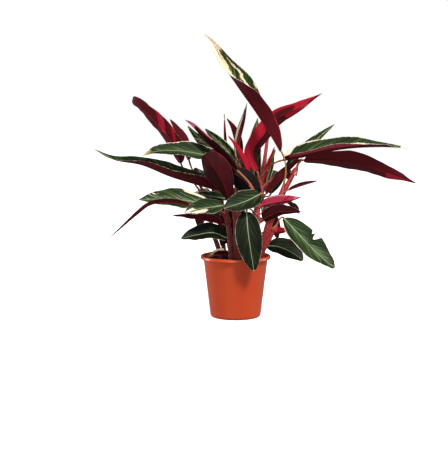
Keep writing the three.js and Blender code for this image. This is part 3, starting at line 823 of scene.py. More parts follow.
@dataclass
class Pot:
    """A thermoformed round nursery pot with a rolled rim and drain holes, in millimetres."""

    height: float = 150.0
    rim_radius: float = 85.0
    rim_depth: float = 9.0
    rim_lip: float = 1.5
    rim_rounding: float = 0.55
    wall_top_radius: float = 77.5
    base_radius: float = 61.0
    base_rounding: float = 7.0
    foot_inset: float = 7.0
    foot_slope: float = 2.0
    neck: float = 3.0
    wall: float = 2.0
    floor: float = 3.0
    foot_recess: float = 1.2
    drain_holes: int = 6
    drain_ring: float = 40.0
    drain_radius: float = 5.0
    turns: int = 128

    def wall_radius(self, height: float) -> float:
        """Give the plain wall's outer radius at a height.

        Args:
            height: The height.

        Returns:
            The radius.
        """
        rise = self.height - self.rim_depth - self.base_rounding
        slope = (self.wall_top_radius - self.base_radius) / rise
        return self.base_radius + slope * (height - self.base_rounding)

    def profile(self) -> list[tuple[float, float]]:
        """Draw half of the pot's section.

        Returns:
            Points of radius and height, from the middle of the base round to the floor.
        """
        under_rim = self.height - self.rim_depth
        corner = self.base_radius - self.base_rounding
        bead = self.rim_radius - self.rim_lip
        foot = corner - self.foot_inset
        neck = under_rim - self.neck
        bend = self.base_rounding
        arc = [
            (corner + bend * math.sin(angle), bend * (1 - math.cos(angle)))
            for angle in (math.radians(step) for step in range(0, 91, 15))
        ]
        return [
            (0, self.foot_recess),
            (foot - self.foot_slope, self.foot_recess),
            (foot, 0),
            *arc,
            (self.wall_radius(neck), neck),
            (self.wall_radius(under_rim) + 0.6, under_rim),
            (bead - 0.6, under_rim + 0.4),
            (self.rim_radius, under_rim + self.rim_lip + 0.6),
            (self.rim_radius - 0.5, self.height - 2.4),
            (bead - 0.4, self.height),
            (bead - self.wall, self.height - 0.5),
            (self.wall_radius(under_rim) - self.wall + 1, under_rim + 1),
            (self.wall_radius(under_rim) - self.wall, neck),
            (self.wall_radius(bend) - self.wall, bend),
            (corner, self.floor),
            (0, self.floor),
        ]

    def shell(self) -> BMesh:
        """Turn the section into the closed shell and round the rim's edges.

        Returns:
            The shell.
        """
        mesh = turned(self.profile(), self.turns)
        bmesh.ops.recalc_face_normals(mesh, faces=mesh.faces)
        bmesh.ops.bevel(
            mesh,
            geom=[edge for edge in mesh.edges if self.is_rim_ring(edge)],
            offset=self.rim_rounding,
            offset_type="OFFSET",
            affect="EDGES",
            segments=3,
            profile=0.5,
            material=-1,
        )
        return mesh

    def is_rim_ring(self, edge: BMEdge) -> bool:
        """Tell whether an edge runs round the rim.

        Args:
            edge: The edge.

        Returns:
            True on the rim's rings.
        """
        first, second = (vert.co for vert in edge.verts)
        level = abs(first.z - second.z) < 0.01
        high = first.z > self.height - self.rim_depth - 1
        return level and high and first.xy.length > self.wall_top_radius - 1

    def pierce(self, shell: BMesh) -> BMesh:
        """Cut the drain holes.

        Args:
            shell: The closed shell.

        Returns:
            The pierced shell.
        """
        cutters = bmesh.new()
        for hole in range(self.drain_holes):
            angle = math.tau * hole / self.drain_holes
            x, y = self.drain_ring * math.cos(angle), self.drain_ring * math.sin(angle)
            bmesh.ops.create_cone(
                cutters,
                cap_ends=True,
                radius1=self.drain_radius,
                radius2=self.drain_radius,
                depth=self.floor * 4,
                segments=24,
                matrix=Matrix.Translation((x, y, self.floor / 2)),
            )
        body, tool = meshed("uncut_pot", shell), meshed("drain_cutters", cutters)
        cut = body.modifiers.new("holes", "BOOLEAN")
        cut.object, cut.operation, cut.solver = tool, "DIFFERENCE", "EXACT"
        seen = body.evaluated_get(bpy.context.evaluated_depsgraph_get())
        pierced = bmesh.new()
        pierced.from_mesh(seen.to_mesh())
        for spare in (body, tool):
            data = spare.data
            bpy.data.objects.remove(spare)
            bpy.data.meshes.remove(data)
        return pierced

    def build(self, finish: PotFinish) -> None:
        """Make the pot and dress it."""
        finished("nursery_pot", self.pierce(self.shell()), [finish.material()], "pot", "pot")


@dataclass
class Soil:
    """The potting soil: a crumbly mounded bed with bark bits and root fibres."""

    pot: Pot
    edge_height: float = 139.0
    crown: float = 4.0
    gap: float = 0.3
    rings: int = 26
    turns: int = 110
    crumbs: int = 420
    fibres: int = 46
    lumps: float = 2.2
    lump_pace: float = 0.075
    grit: float = 0.9
    grit_pace: float = 0.4
    edge_start: float = 0.97
    edge_fade: float = 12.0
    crumb_sizes: tuple[float, float] = (0.9, 2.6)
    fibre_radii: tuple[float, float] = (0.35, 0.12)
    seed: int = 11

    def top(self, x: float, y: float) -> float:
        """Give the soil's height at a place.

        Args:
            x: Across the pot.
            y: Along the pot.

        Returns:
            The height.
        """
        reach = math.hypot(x, y) / self.pot.wall_radius(self.edge_height)
        mound = self.crown * (1 - reach * reach)
        lumps = noise.noise(Vector((x, y, 3)) * self.lump_pace) * self.lumps
        grit = noise.noise(Vector((x, y, 9)) * self.grit_pace) * self.grit
        rough = clamped((self.edge_start - reach) * self.edge_fade)
        return self.edge_height + mound + (lumps + grit) * rough

    def build(self, finish: SoilFinish) -> None:
        """Make the bed with its crumbs and fibres.

        Args:
            finish: Its peat.
        """
        pot = self.pot
        floor = pot.floor + self.gap
        inset = pot.wall + self.gap
        outer = pot.wall_radius(self.edge_height) - inset
        surface = self.edge_height + 1
        steps = range(1, self.rings + 1)
        profile = [
            (0, floor),
            (pot.base_radius - pot.base_rounding - self.gap, floor),
            (pot.wall_radius(pot.base_rounding) - inset, pot.base_rounding),
            (outer, self.edge_height),
            *((outer * (1 - step / self.rings), surface) for step in steps),
        ]
        mesh = turned(profile, self.turns)
        for vert in mesh.verts:
            if vert.co.z > self.edge_height + 0.5:
                vert.co.z = self.top(vert.co.x, vert.co.y)
        self.scatter(mesh, outer)
        finished("potting_soil", mesh, [finish.material()], "soil", "soil")

    def scatter(self, mesh: BMesh, outer: float) -> None:
        """Strew bark crumbs and fibres over the bed.

        Args:
            mesh: The bed.
            outer: The bed's radius.
        """
        draw = random.Random(self.seed)
        thick, thin = self.fibre_radii
        for index in range(self.crumbs + self.fibres):
            angle = draw.uniform(0, math.tau)
            reach = (outer - 3) * math.sqrt(draw.random())
            x, y = reach * math.cos(angle), reach * math.sin(angle)
            turn = Euler([draw.uniform(0, math.tau) for _ in range(3)]).to_matrix().to_4x4()
            size = draw.uniform(*self.crumb_sizes)
            place = Matrix.Translation((x, y, self.top(x, y)))
            if index < self.crumbs:
                stretch = (size, size * draw.uniform(0.5, 1), size * draw.uniform(0.4, 0.8), 1)
                matrix = place @ turn @ Matrix.Diagonal(stretch)
                bmesh.ops.create_icosphere(mesh, subdivisions=1, radius=1, matrix=matrix)
            else:
                lay = Matrix.Rotation(angle * 3, 4, "Z") @ Matrix.Rotation(math.pi / 2, 4, "X")
                bmesh.ops.create_cone(
                    mesh,
                    cap_ends=True,
                    radius1=thick,
                    radius2=thin,
                    depth=size * 4,
                    segments=5,
                    matrix=place @ lay,
                )


# --- The plant's rows ------------------------------------------------------------------------


def soft_window(value: float, low: float, high: float, blur: float) -> float:
    """Give 1 between two bounds and fade to 0 outside them."""
    return clamped((value - low) / blur + 0.5) * clamped((high - value) / blur + 0.5)


@dataclass(frozen=True)
class Band:
    """A painted sector: its half of the blade, or 0 for both, and its reach along and across."""

    side: int
    start: float
    end: float
    inner: float = -0.1
    outer: float = 1.1
    cream: float = 0.0
    blush: float = 0.0
    sweep: float = 0.6

    END_BLUR, SIDE_BLUR = 0.03, 0.07

    def weight(self, share: float, swept_back: float, place: float) -> float:
        """Tell how far a point lies inside the sector.

        Args:
            share: How far along the midrib the point is.
            swept_back: How far its side vein has swept forward, as a share of the midrib.
            place: From -1 to 1 across the blade.

        Returns:
            1 well inside and 0 outside.
        """
        if self.side and place * self.side < -0.001:
            return 0.0
        spot = share - self.sweep * swept_back
        lengthwise = soft_window(spot, self.start, self.end, self.END_BLUR)
        return lengthwise * soft_window(abs(place), self.inner, self.outer, self.SIDE_BLUR)


@dataclass(frozen=True)
class Paint:
    """How a blade is coloured: lack of green, red under it, lighter green with painted light and
    shade, dry tip and sectors.
    """

    cream: float
    blush: float
    # The blade's lighter green, also used as painted light and shade: it is low on blades that sit
    # in the plant's shade.
    fresh_and_lit: float
    dry_tip: float = 0.01
    bands: tuple[Band, ...] = ()
    dry_margin: float = 0.0

    def total(self, name: str, weights: Sequence[float]) -> float:
        """Add up the cream or blush of the blade and its sectors, by their weights."""
        own = sum(getattr(band, name) * weight for band, weight in zip(self.bands, weights))
        return getattr(self, name) + own


class Tone(Enum):
    """What a blade mostly shows, with the record's slot and its usual paint."""

    GREEN = ("leaf_green", Paint(0.1, 0.2, 0.3, 0.02))
    VARIEGATED = ("leaf_variegated", Paint(0.42, 0.45, 0.5, 0.02))
    BURGUNDY = ("leaf_burgundy", Paint(0.15, 0.18, 0.3, 0.02))
    CRIMSON = ("leaf_crimson", Paint(0.4, 0.75, 0.4, 0.02))
    DRY = ("leaf_dry", Paint(0.1, 0.2, 0.1, 0.6, dry_margin=0.7))

    @property
    def slot(self) -> str:
        """The record's slot."""
        return self.value[0]

    @property
    def paint(self) -> Paint:
        """The usual paint."""
        return self.value[1]


@dataclass(frozen=True)
class Bite:
    """A torn notch in a blade's margin."""

    side: int
    share: float
    depth: float
    breadth: float


@dataclass(frozen=True)
class Stalk:
    """One sheathed stalk: its foot in the soil, its bend, its top, its radius and its painted
    shade.
    """

    name: str
    foot: tuple[float, float]
    bend: Triple
    top: Triple
    radius: float
    shade: float


@dataclass(frozen=True)
class Leaf:
    """One blade: where it leaves its stalk, its two halves' folds and its midrib's route.

    Its face is where the upper side looks, at the base and at the tip, or once for both.
    """

    name: str
    shoot: str
    leaves_at: float
    half_width: float
    folds: tuple[float, float]
    curl: float
    wave: float
    tone: Tone
    route: tuple[Triple, ...]
    face: tuple[Triple, ...]
    widest: float = 0.44
    taper: float = 0.8
    paint: Optional[Paint] = None
    bites: tuple[Bite, ...] = ()
    ochre: float = 0.35
    petiole: float = 1.9


# Each stalk's last number is its painted shade: how far its skin is darkened where the plant
# shades it.
STALKS: tuple[Stalk, ...] = (
    Stalk("front_left", (-10, -38), (-14, -40, 200), (-22, -42, 262), 7.5, 0.8),
    Stalk("front_centre", (3, -21), (1, -25, 200), (-2, -28, 268), 7.5, 0.7),
    Stalk("front_right", (39, -36), (49, -38, 210), (49, -40, 284), 10, 0),
    Stalk("right", (61, -2), (92, -8, 258), (142, -4, 352), 9, 0),
    Stalk("low_right", (55.5, -27), (72, -35, 180), (96, -44, 226), 7.5, 0),
    Stalk("left", (-36, -6), (-54, -8, 205), (-66, -10, 268), 6, 0.7),
    Stalk("centre", (12, 6), (10, 5, 210), (4, 4, 290), 6.5, 0.6),
    Stalk("back_left", (-28, 34), (-32, 38, 200), (-34, 42, 268), 6, 0.7),
    Stalk("back_centre", (6, 46), (6, 52, 210), (4, 56, 296), 6.5, 0.3),
    Stalk("back_right", (42, 26), (47, 28, 200), (80, 60, 442), 6.5, 0.1),
)

LEAVES: tuple[Leaf, ...] = (
    Leaf("spire", "right", 266, 37, (66, 34), 10, 1.5, Tone.VARIEGATED,
         ((107, -22, 403), (83, -28, 443), (46, -36, 499), (11, -42, 547), (-22, -47, 594),
          (-48, -51, 644), (-73, -54, 676)),
         ((0.83, 0.32, 0.55), (-0.22, -0.78, -0.15)), 0.5, 1, ochre=1,
         paint=Paint(0, -0.1, 0.9, 0.004, (
             Band(-1, 0.45, 1.2, cream=1, sweep=0.2), Band(1, 0.84, 1.2, cream=1, sweep=0.3),
             Band(1, 0.7, 0.86, outer=0.36, cream=1), Band(1, 0.58, 0.72, outer=0.16, cream=1),
             Band(1, 0.25, 0.62, 0.48, 0.6, cream=1, sweep=0),
             Band(1, 0.6, 0.72, 0.58, 0.74, cream=1, sweep=0),
             Band(1, 0.7, 0.86, 0.68, 0.8, cream=1, sweep=0),
             Band(1, 0.1, 0.5, 0.97, cream=0.9, sweep=0),
             Band(-1, -0.05, 0.24, 0.86, blush=0.8, sweep=0)))),
    Leaf("crimson_right", "back_right", 285, 23, (12, 12), 8, 1.5, Tone.CRIMSON,
         ((52, 24, 352), (39, 30, 395), (66, 36, 439), (103, 40, 479), (151, 46, 504),
          (209, 54, 538)),
         ((-0.5, 0.85, 0), (-0.3, 0.85, 0.4)), taper=1.15, petiole=4.5,
         paint=Paint(0.2, 0.1, 0.45, 0.02, (
             Band(1, -0.2, 0.93, blush=0.8), Band(-1, 0.6, 0.84, outer=0.75, blush=0.8, sweep=0.5),
             Band(1, 0.4, 0.7, outer=0.66, blush=-1.4, sweep=0.8),
             Band(-1, 0.76, 0.86, blush=0.9, sweep=0.9)))),
    Leaf("rolled_crimson", "centre", 275, 9, (30, 45), 20, 0, Tone.CRIMSON,
         ((32, 0, 346), (17, -4, 380), (1, -6, 411), (-18, -8, 439)),
         ((0.3, 1, 0.2),), 0.4, 1, petiole=3.5, paint=Paint(0.5, 0.85, 0.4)),
    Leaf("burgundy_left", "left", 262, 23, (12, 12), 10, 1.5, Tone.BURGUNDY,
         ((-132, 16, 371), (-145, 12, 410), (-173, 6, 451), (-205, 2, 486), (-231, 6, 508),
          (-248, 16, 518)),
         ((0.35, 0.8, 0.45), (0.3, 0.6, 0.7)), 0.4, 0.1, ochre=0.8,
         paint=Paint(0.1, -0.1, 0.8, 0.002, (
             Band(-1, 0.42, 0.56, blush=1.3, sweep=1.1),
             Band(1, 0.4, 0.47, outer=0.7, blush=0.8, sweep=1),
             Band(-1, 0.2, 0.28, 0.1, blush=1.1, sweep=1.2),
             Band(-1, 0.3, 0.35, 0.1, 0.8, blush=0.4, sweep=1.2)))),
    Leaf("green_left", "centre", 275, 28, (12, 12), 10, 2, Tone.GREEN,
         ((-14, 2, 377), (-64, -10, 390), (-132, -24, 403), (-184, -34, 403), (-219, -42, 394)),
         ((0, -0.6, 0.8),), ochre=0.7, paint=Paint(0.03, 0.2, 0.35, 0.1, (
             Band(1, -0.2, 0.8, 0.95, cream=1), Band(0, 0.93, 1.1, cream=1)))),
    Leaf("broad_burgundy", "front_centre", 240, 34, (12, 12), 15, 1, Tone.BURGUNDY,
         ((-15, -46, 281), (-22, -60, 310), (-35, -70, 340), (-53, -74, 369), (-74, -68, 398)),
         ((0.2, 0.95, 0.1), (0.1, 0.9, 0.4)), 0.66, 0.42, petiole=3,
         paint=Paint(0.05, -0.1, 0.25, 0.005)),
    Leaf("long_left", "centre", 262, 30, (55, 70), 0, 1.5, Tone.BURGUNDY,
         ((-33, -8, 305), (-85, -8, 320), (-155, -8, 341), (-226, -8, 369), (-291, -6, 381),
          (-337, -4, 406)),
         ((0, 0, 1), (0, -0.6, 0.8)), 0.3, 1.1, ochre=0.6, paint=Paint(0, 0.05, 0.5, 0.02, (
             Band(0, -0.2, 1.1, 0.94, blush=0.5),))),
    Leaf("pink_roll", "front_right", 280, 18, (45, 30), 20, 0, Tone.BURGUNDY,
         ((3, -33, 357), (-23, -32, 380), (-52, -30, 408), (-78, -27, 434), (-100, -24, 459),
          (-121, -20, 477)),
         ((0.6, 0.2, 0.75), (0.4, -0.1, 0.9)), 0.4, 0.55, ochre=0.6, petiole=3,
         paint=Paint(0.15, -0.1, 0, 0.001, (
             Band(0, 0.82, 1.2, cream=1, blush=1.5, sweep=0.1),
             Band(-1, 0.5, 0.84, 0.78, cream=1, blush=1.4, sweep=0.2),
             Band(1, 0.45, 0.84, 0.5, cream=1)))),
    Leaf("greygreen_roll", "back_left", 285, 13, (12, 16), 6, 1, Tone.GREEN,
         ((-33, 24, 388), (-62, 29, 409), (-88, 31, 431), (-116, 32, 460)),
         ((-0.5, -0.75, -0.3),), 0.5, 0.9, paint=Paint(0.2, 0.2, 0.8, 0.02, (
             Band(0, 0, 1, 0.9, cream=1),))),
    Leaf("greygreen_upper", "back_centre", 285, 14, (15, 25), 10, 1, Tone.GREEN,
         ((6, 34, 370), (-18, 36, 399), (-45, 38, 426), (-74, 40, 453)),
         ((-0.2, -0.9, 0.3), (-0.3, -0.9, 0.2)), petiole=2.4, paint=Paint(0.1, 0.2, 0.7, 0.02, (
             Band(0, 0, 1, 0.92, cream=1),))),
    Leaf("spike", "back_centre", 290, 5, (80, 80), 90, 0, Tone.BURGUNDY,
         ((-16, 58, 371), (-23, 60, 408), (-26, 62, 449), (-27, 64, 488)),
         ((0, -1, 0),), taper=1, paint=Paint(0.2, 0.5, 0.9)),
    Leaf("young_burgundy", "back_centre", 288, 11, (30, 30), 10, 0, Tone.BURGUNDY,
         ((11, 50, 381), (6, 50, 418), (-6, 50, 454), (-21, 50, 478)),
         ((0.3, 0.9, 0.2),), taper=1, petiole=2.6, paint=Paint(0.2, 0.4, 0.9)),
    Leaf("upright_roll", "centre", 286, 13, (50, 65), 10, 0, Tone.VARIEGATED,
         ((6, 16, 379), (10, 18, 424), (22, 20, 475), (27, 22, 515)),
         ((-0.85, -0.5, 0),), taper=1, ochre=0.5, petiole=3.5, paint=Paint(0.3, 0.1, 1, bands=(
             Band(0, -0.2, 0.75, outer=0.85, cream=1, sweep=0),))),
    Leaf("behind_centre", "back_right", 288, 19, (20, 20), 5, 0, Tone.GREEN,
         ((51, 77, 286), (46, 79, 350), (46, 82, 419), (55, 86, 479)),
         ((0, -1, 0.2),), 0.5, 1.1, petiole=3.2, paint=Paint(0, 0.3, 0.6, bands=(
             Band(0, -0.2, 1.1, 0.86, cream=1, sweep=0),))),
    Leaf("slim_crimson", "back_right", 284, 5, (50, 50), 10, 0, Tone.CRIMSON,
         ((70, 50, 320), (77, 50, 350), (85, 50, 379), (95, 50, 409)),
         ((0, 1, 0.2),), taper=1, petiole=3, paint=Paint(0.5, 0.6, 1)),
    Leaf("long_right", "back_right", 315, 34, (34, 56), -4, 2, Tone.GREEN,
         ((114, 6, 379), (161, 0, 388), (213, -4, 400), (273, -8, 409), (344, -10, 412),
          (412, -10, 409)),
         ((0, -0.5, 0.87),), 0.32, 1.05, petiole=3, paint=Paint(0, 0.1, 0.5, 0.005, (
             Band(-1, 0.5, 0.78, 0.12, 0.4, cream=1), Band(-1, -0.3, 0.03, 0.5, cream=1),
             # long_right's red band of blush 2.2 is its own red, pushed towards rose as painted
             # light on an underside that faces down into shade.
             Band(-1, -0.2, 0.5, 0.95, cream=1), Band(1, 0.06, 0.6, 0.4, blush=2.2, sweep=0),
             Band(1, 0.6, 0.75, 0.8, blush=1.4, sweep=0), Band(0, 0.93, 1.1, cream=1)))),
    Leaf("pale_behind", "back_right", 290, 13, (20, 20), 5, 0, Tone.GREEN,
         ((123, 40, 358), (157, 44, 394), (198, 46, 428), (240, 48, 464)),
         ((-0.4, -0.7, 0.4),), taper=1, paint=Paint(0.1, 0.2, 0.6, 0.02)),
    Leaf("drooping_right", "right", 345, 28, (12, 12), 8, 2, Tone.BURGUNDY,
         ((164, 8, 379), (216, 22, 379), (265, 28, 375), (321, 30, 362), (382, 30, 341),
          (438, 26, 322)),
         ((0, 0.77, 0.64),), taper=1, petiole=3, paint=Paint(0.1, -0.1, 0.9, bands=(
             Band(-1, 0, 0.95, 0.93, blush=0.8, sweep=0),
             Band(-1, 0.72, 0.99, 0, blush=1.5, sweep=0.3)))),
    Leaf("centre_right", "back_right", 270, 17, (35, 60), 5, 1, Tone.BURGUNDY,
         ((73, 14, 297), (105, 18, 328), (134, 20, 358), (163, 22, 385)),
         ((-0.7, 0.2, 0.65),), taper=1, petiole=3.4, paint=Paint(0.05, 0.1, 0.5, bands=(
             Band(0, -0.1, 1, 0.3, 0.5, blush=0.2, sweep=0.2),))),
    Leaf("thin_spike", "right", 280, 6, (30, 30), 10, 0, Tone.BURGUNDY,
         ((127, -16, 310), (156, -14, 320), (196, -12, 331)),
         ((-0.2, 0.8, 0.5),), taper=1),
    Leaf("hot_pink", "front_right", 238, 15, (14, 14), 10, 0, Tone.CRIMSON,
         ((62, -32, 275), (93, -32, 282), (122, -28, 286), (156, -18, 292)),
         ((0, 0.85, 0.5),), 0.38, 1, petiole=3, paint=Paint(0.5, 1.7, 0.4, 0.004, (
             Band(0, 0.78, 1.1, cream=0.7), Band(0, 0.1, 0.6, 0.75, cream=0.6),
             Band(0, 0.5, 0.62, blush=-0.8, sweep=1.2)))),
    Leaf("dark_burgundy", "front_right", 222, 20, (14, 14), 8, 1, Tone.BURGUNDY,
         ((65, -34, 240), (93, -34, 256), (125, -30, 260), (156, -24, 257)),
         ((0, 0.8, 0.6),), 0.32, petiole=2.6, paint=Paint(0.05, 0, 0.2, 0.03)),
    Leaf("low_right", "low_right", 215, 35, (10, 10), 8, 2, Tone.GREEN,
         ((114, -50, 245), (139, -66, 219), (165, -82, 192), (192, -96, 166), (230, -108, 134)),
         ((0.35, -0.75, 0.55),), 0.48, 0.7,
         bites=(Bite(-1, 0.5, 0.5, 0.04), Bite(-1, 0.42, 0.25, 0.02)),
         paint=Paint(0.12, 0.2, 0.44, bands=(
             Band(1, -0.2, 1.1, 0.95, cream=0.8, sweep=0),))),
    Leaf("low_right_behind", "back_right", 160, 30, (10, 10), 8, 1, Tone.GREEN,
         ((75, 22, 170), (103, 10, 169), (133, 0, 158), (163, -8, 138)),
         ((0.2, -0.65, 0.7),), 0.5, 0.7, paint=Paint(-0.1, 0.2, 0)),
    Leaf("front_hanging", "front_right", 240, 31, (12, 12), 8, 2, Tone.GREEN,
         ((25, -80, 263), (28, -95, 220), (35, -101, 171), (42, -103, 127)),
         ((0, -1, 0.2), (0, -1, 0)), 0.42, 0.65, ochre=0.7, paint=Paint(-0.1, 0.2, 0)),
    Leaf("front_centre", "front_right", 270, 27, (10, 10), 8, 1.5, Tone.GREEN,
         ((57, -56, 303), (31, -72, 291), (5, -90, 283), (-27, -106, 274)),
         ((0.1, -0.75, 0.6),), taper=0.58, ochre=0.6, paint=Paint(-0.1, 0.2, 0.12)),
    Leaf("wide_left", "left", 250, 29, (10, 10), 6, 2, Tone.VARIEGATED,
         ((-66, -44, 278), (-108, -50, 286), (-160, -56, 292), (-202, -60, 291), (-229, -64, 291)),
         ((0, -0.68, 0.73),), taper=0.9, paint=Paint(0.02, 0.4, 0.62, bands=(
             Band(1, -0.4, 0.24, 0.75, cream=1), Band(-1, -0.2, 0.6, 0.93, cream=1),
             Band(1, 0.4, 0.5, 0.3, cream=0.3, sweep=1.8)))),
    Leaf("whip", "front_left", 232, 8, (30, 30), 10, 0, Tone.BURGUNDY,
         ((-110, -84, 280), (-147, -88, 287), (-184, -90, 286), (-205, -90, 279), (-231, -90, 260),
          (-260, -86, 235), (-302, -80, 198)),
         ((0.2, 0.5, 0.8), (0.4, 0.5, 0.6)), 0.22, 1.3, paint=Paint(0.1, -0.1, 0.3, 0.12, (
             Band(0, 0.38, 0.48, blush=0.5, sweep=0),))),
    Leaf("front_left", "front_left", 258, 25, (10, 10), 8, 1.5, Tone.VARIEGATED,
         ((-30, -62, 277), (-58, -78, 274), (-89, -94, 271), (-120, -108, 263)),
         ((-0.2, -0.7, 0.65),), paint=Paint(0.08, 0.4, 0.35, bands=(
             Band(-1, 0.4, 1.1, 0.25, 0.85, cream=0.6), Band(1, 0.7, 1.1, 0, 0.5, cream=0.5)))),
    Leaf("dark_centre", "front_centre", 258, 15, (10, 10), 8, 1, Tone.GREEN,
         ((-14, -22, 288), (-45, -18, 292), (-73, -14, 297), (-93, -12, 301)),
         ((0, -0.6, 0.8),), paint=Paint(-0.1, 0.1, 0.1, bands=(
             Band(1, 0, 1, 0.95, cream=1),))),
    Leaf("low_burgundy", "front_left", 215, 16, (20, 20), 8, 1, Tone.BURGUNDY,
         ((-33, -46, 231), (-66, -54, 241), (-108, -62, 248), (-149, -70, 254)),
         ((0, 0.6, 0.8),), 0.36, 0.9, paint=Paint(0.05, 0.1, 0.4, 0.02)),
    # low_left's light level of -0.1 paints it the darkest green: painted shade from the leaves
    # above.
    Leaf("low_left", "front_left", 180, 25, (15, 15), 8, 1.5, Tone.GREEN,
         ((-21, -52, 198), (-54, -64, 212), (-89, -76, 209), (-129, -86, 201)),
         ((-0.1, -0.7, 0.7),), taper=0.75, paint=Paint(-0.2, 0.1, -0.1)),
    Leaf("withered", "front_left", 152, 10, (50, 30), 60, 0, Tone.DRY,
         ((-18, -48, 161), (-40, -52, 161), (-66, -52, 154)),
         ((0, -0.5, 0.8),), taper=1, paint=Paint(0.2, 0.1, 0.2, 0.3, (
             Band(0, 0.1, 0.9, 0.7, cream=1),), dry_margin=0.5)),
    Leaf("small_crimson", "back_right", 190, 9, (20, 20), 8, 0, Tone.CRIMSON,
         ((91, 24, 201), (108, 24, 205), (130, 22, 206)),
         ((0, 0.9, 0.4),), taper=1, paint=Paint(0.3, 0.8, 0.7)),
    Leaf("striped_centre", "back_right", 285, 20, (25, 40), 10, 1, Tone.VARIEGATED,
         ((68, 62, 297), (80, 63, 332), (89, 64, 366), (97, 64, 402)),
         ((-0.5, -0.85, 0.1),), 0.45, 0.9, petiole=3.6, paint=Paint(0, 0.3, 0.5, bands=(
             Band(0, -0.2, 1.1, 0.7, cream=1, sweep=0),))),
    # inner_burgundy reaches down into the dark gap among the stalk feet, and its low light level
    # paints it a darker wine: painted shade.
    Leaf("inner_burgundy", "centre", 265, 29, (6, 6), 4, 1, Tone.BURGUNDY,
         ((8, 20, 286), (-11, 21, 230), (-35, 20, 169)),
         ((0, 1, 0.1),), 0.45, paint=Paint(0.05, -0.2, -0.35, 0.005)),
    Leaf("burgundy_behind", "left", 268, 14, (20, 25), 8, 1, Tone.BURGUNDY,
         ((-113, 30, 378), (-121, 30, 409), (-138, 30, 443), (-158, 30, 477)),
         ((0.3, 0.9, 0.2),), taper=1, petiole=2.4, paint=Paint(0.1, 0.1, 0.8, 0.02)),
    # dark_inner's light level of -0.6 paints it near black: painted shade in the heart of the
    # plant.
    Leaf("dark_inner", "front_right", 232, 27, (14, 14), 8, 1, Tone.BURGUNDY,
         ((53, -28, 288), (34, -22, 317), (8, -19, 341), (-23, -15, 356)),
         ((0.2, 0.95, -0.1),), 0.5, paint=Paint(0.05, -0.3, -0.6, 0.005)),
    Leaf("back_left", "back_left", 262, 28, (14, 14), 8, 2, Tone.GREEN,
         ((-36, 52, 300), (-56, 88, 333), (-80, 135, 343), (-106, 190, 318)),
         ((-0.1, 0.1, 1), (-0.1, 0.4, 0.9))),
    Leaf("back_high", "back_centre", 285, 36, (14, 14), 8, 2, Tone.GREEN,
         ((8, 70, 312), (6, 104, 352), (0, 158, 372), (-12, 216, 350)),
         ((0, 0.1, 1), (0, 0.4, 0.9))),
    Leaf("back_right", "back_right", 275, 28, (14, 14), 8, 2, Tone.GREEN,
         ((88, 82, 292), (102, 110, 326), (122, 148, 336), (144, 190, 312)),
         ((0.1, 0.1, 1), (0.1, 0.4, 0.9))),
    Leaf("back_low_left", "back_left", 205, 25, (14, 14), 8, 2, Tone.GREEN,
         ((-44, 58, 225), (-62, 92, 240), (-80, 130, 228), (-92, 165, 196)),
         ((-0.2, 0.3, 0.9), (-0.2, 0.6, 0.8))),
    Leaf("back_low_right", "back_right", 200, 24, (14, 14), 8, 2, Tone.GREEN,
         ((52, 56, 215), (72, 90, 228), (92, 128, 210), (108, 160, 168)),
         ((0.2, 0.3, 0.9), (0.2, 0.6, 0.8))),
    Leaf("back_hanging", "back_centre", 195, 25, (12, 12), 8, 2, Tone.GREEN,
         ((8, 84, 212), (6, 108, 196), (2, 122, 156), (-2, 128, 108)),
         ((0, 0.8, 0.6), (0, 1, 0.1))),
    Leaf("back_side_right", "back_right", 235, 24, (14, 14), 8, 2, Tone.GREEN,
         ((66, 34, 250), (95, 54, 274), (130, 80, 268), (158, 108, 238)),
         ((0.2, 0, 1), (0.4, 0.2, 0.9))),
    Leaf("back_side_left", "back_left", 240, 24, (14, 14), 8, 2, Tone.VARIEGATED,
         ((-50, 38, 262), (-76, 62, 288), (-105, 90, 290), (-134, 118, 264)),
         ((-0.2, 0, 1), (-0.4, 0.2, 0.9))),
    Leaf("back_mid_left", "back_centre", 245, 27, (14, 14), 8, 2, Tone.GREEN,
         ((-10, 74, 270), (-22, 108, 293), (-36, 152, 284), (-50, 196, 250)),
         ((0, 0.1, 1), (-0.1, 0.5, 0.9))),
    Leaf("back_mid_right", "back_centre", 240, 27, (14, 14), 8, 2, Tone.VARIEGATED,
         ((26, 72, 262), (36, 108, 284), (50, 152, 275), (62, 194, 240)),
         ((0, 0.1, 1), (0.1, 0.5, 0.9))),
)


# --- Shoots ----------------------------------------------------------------------------------


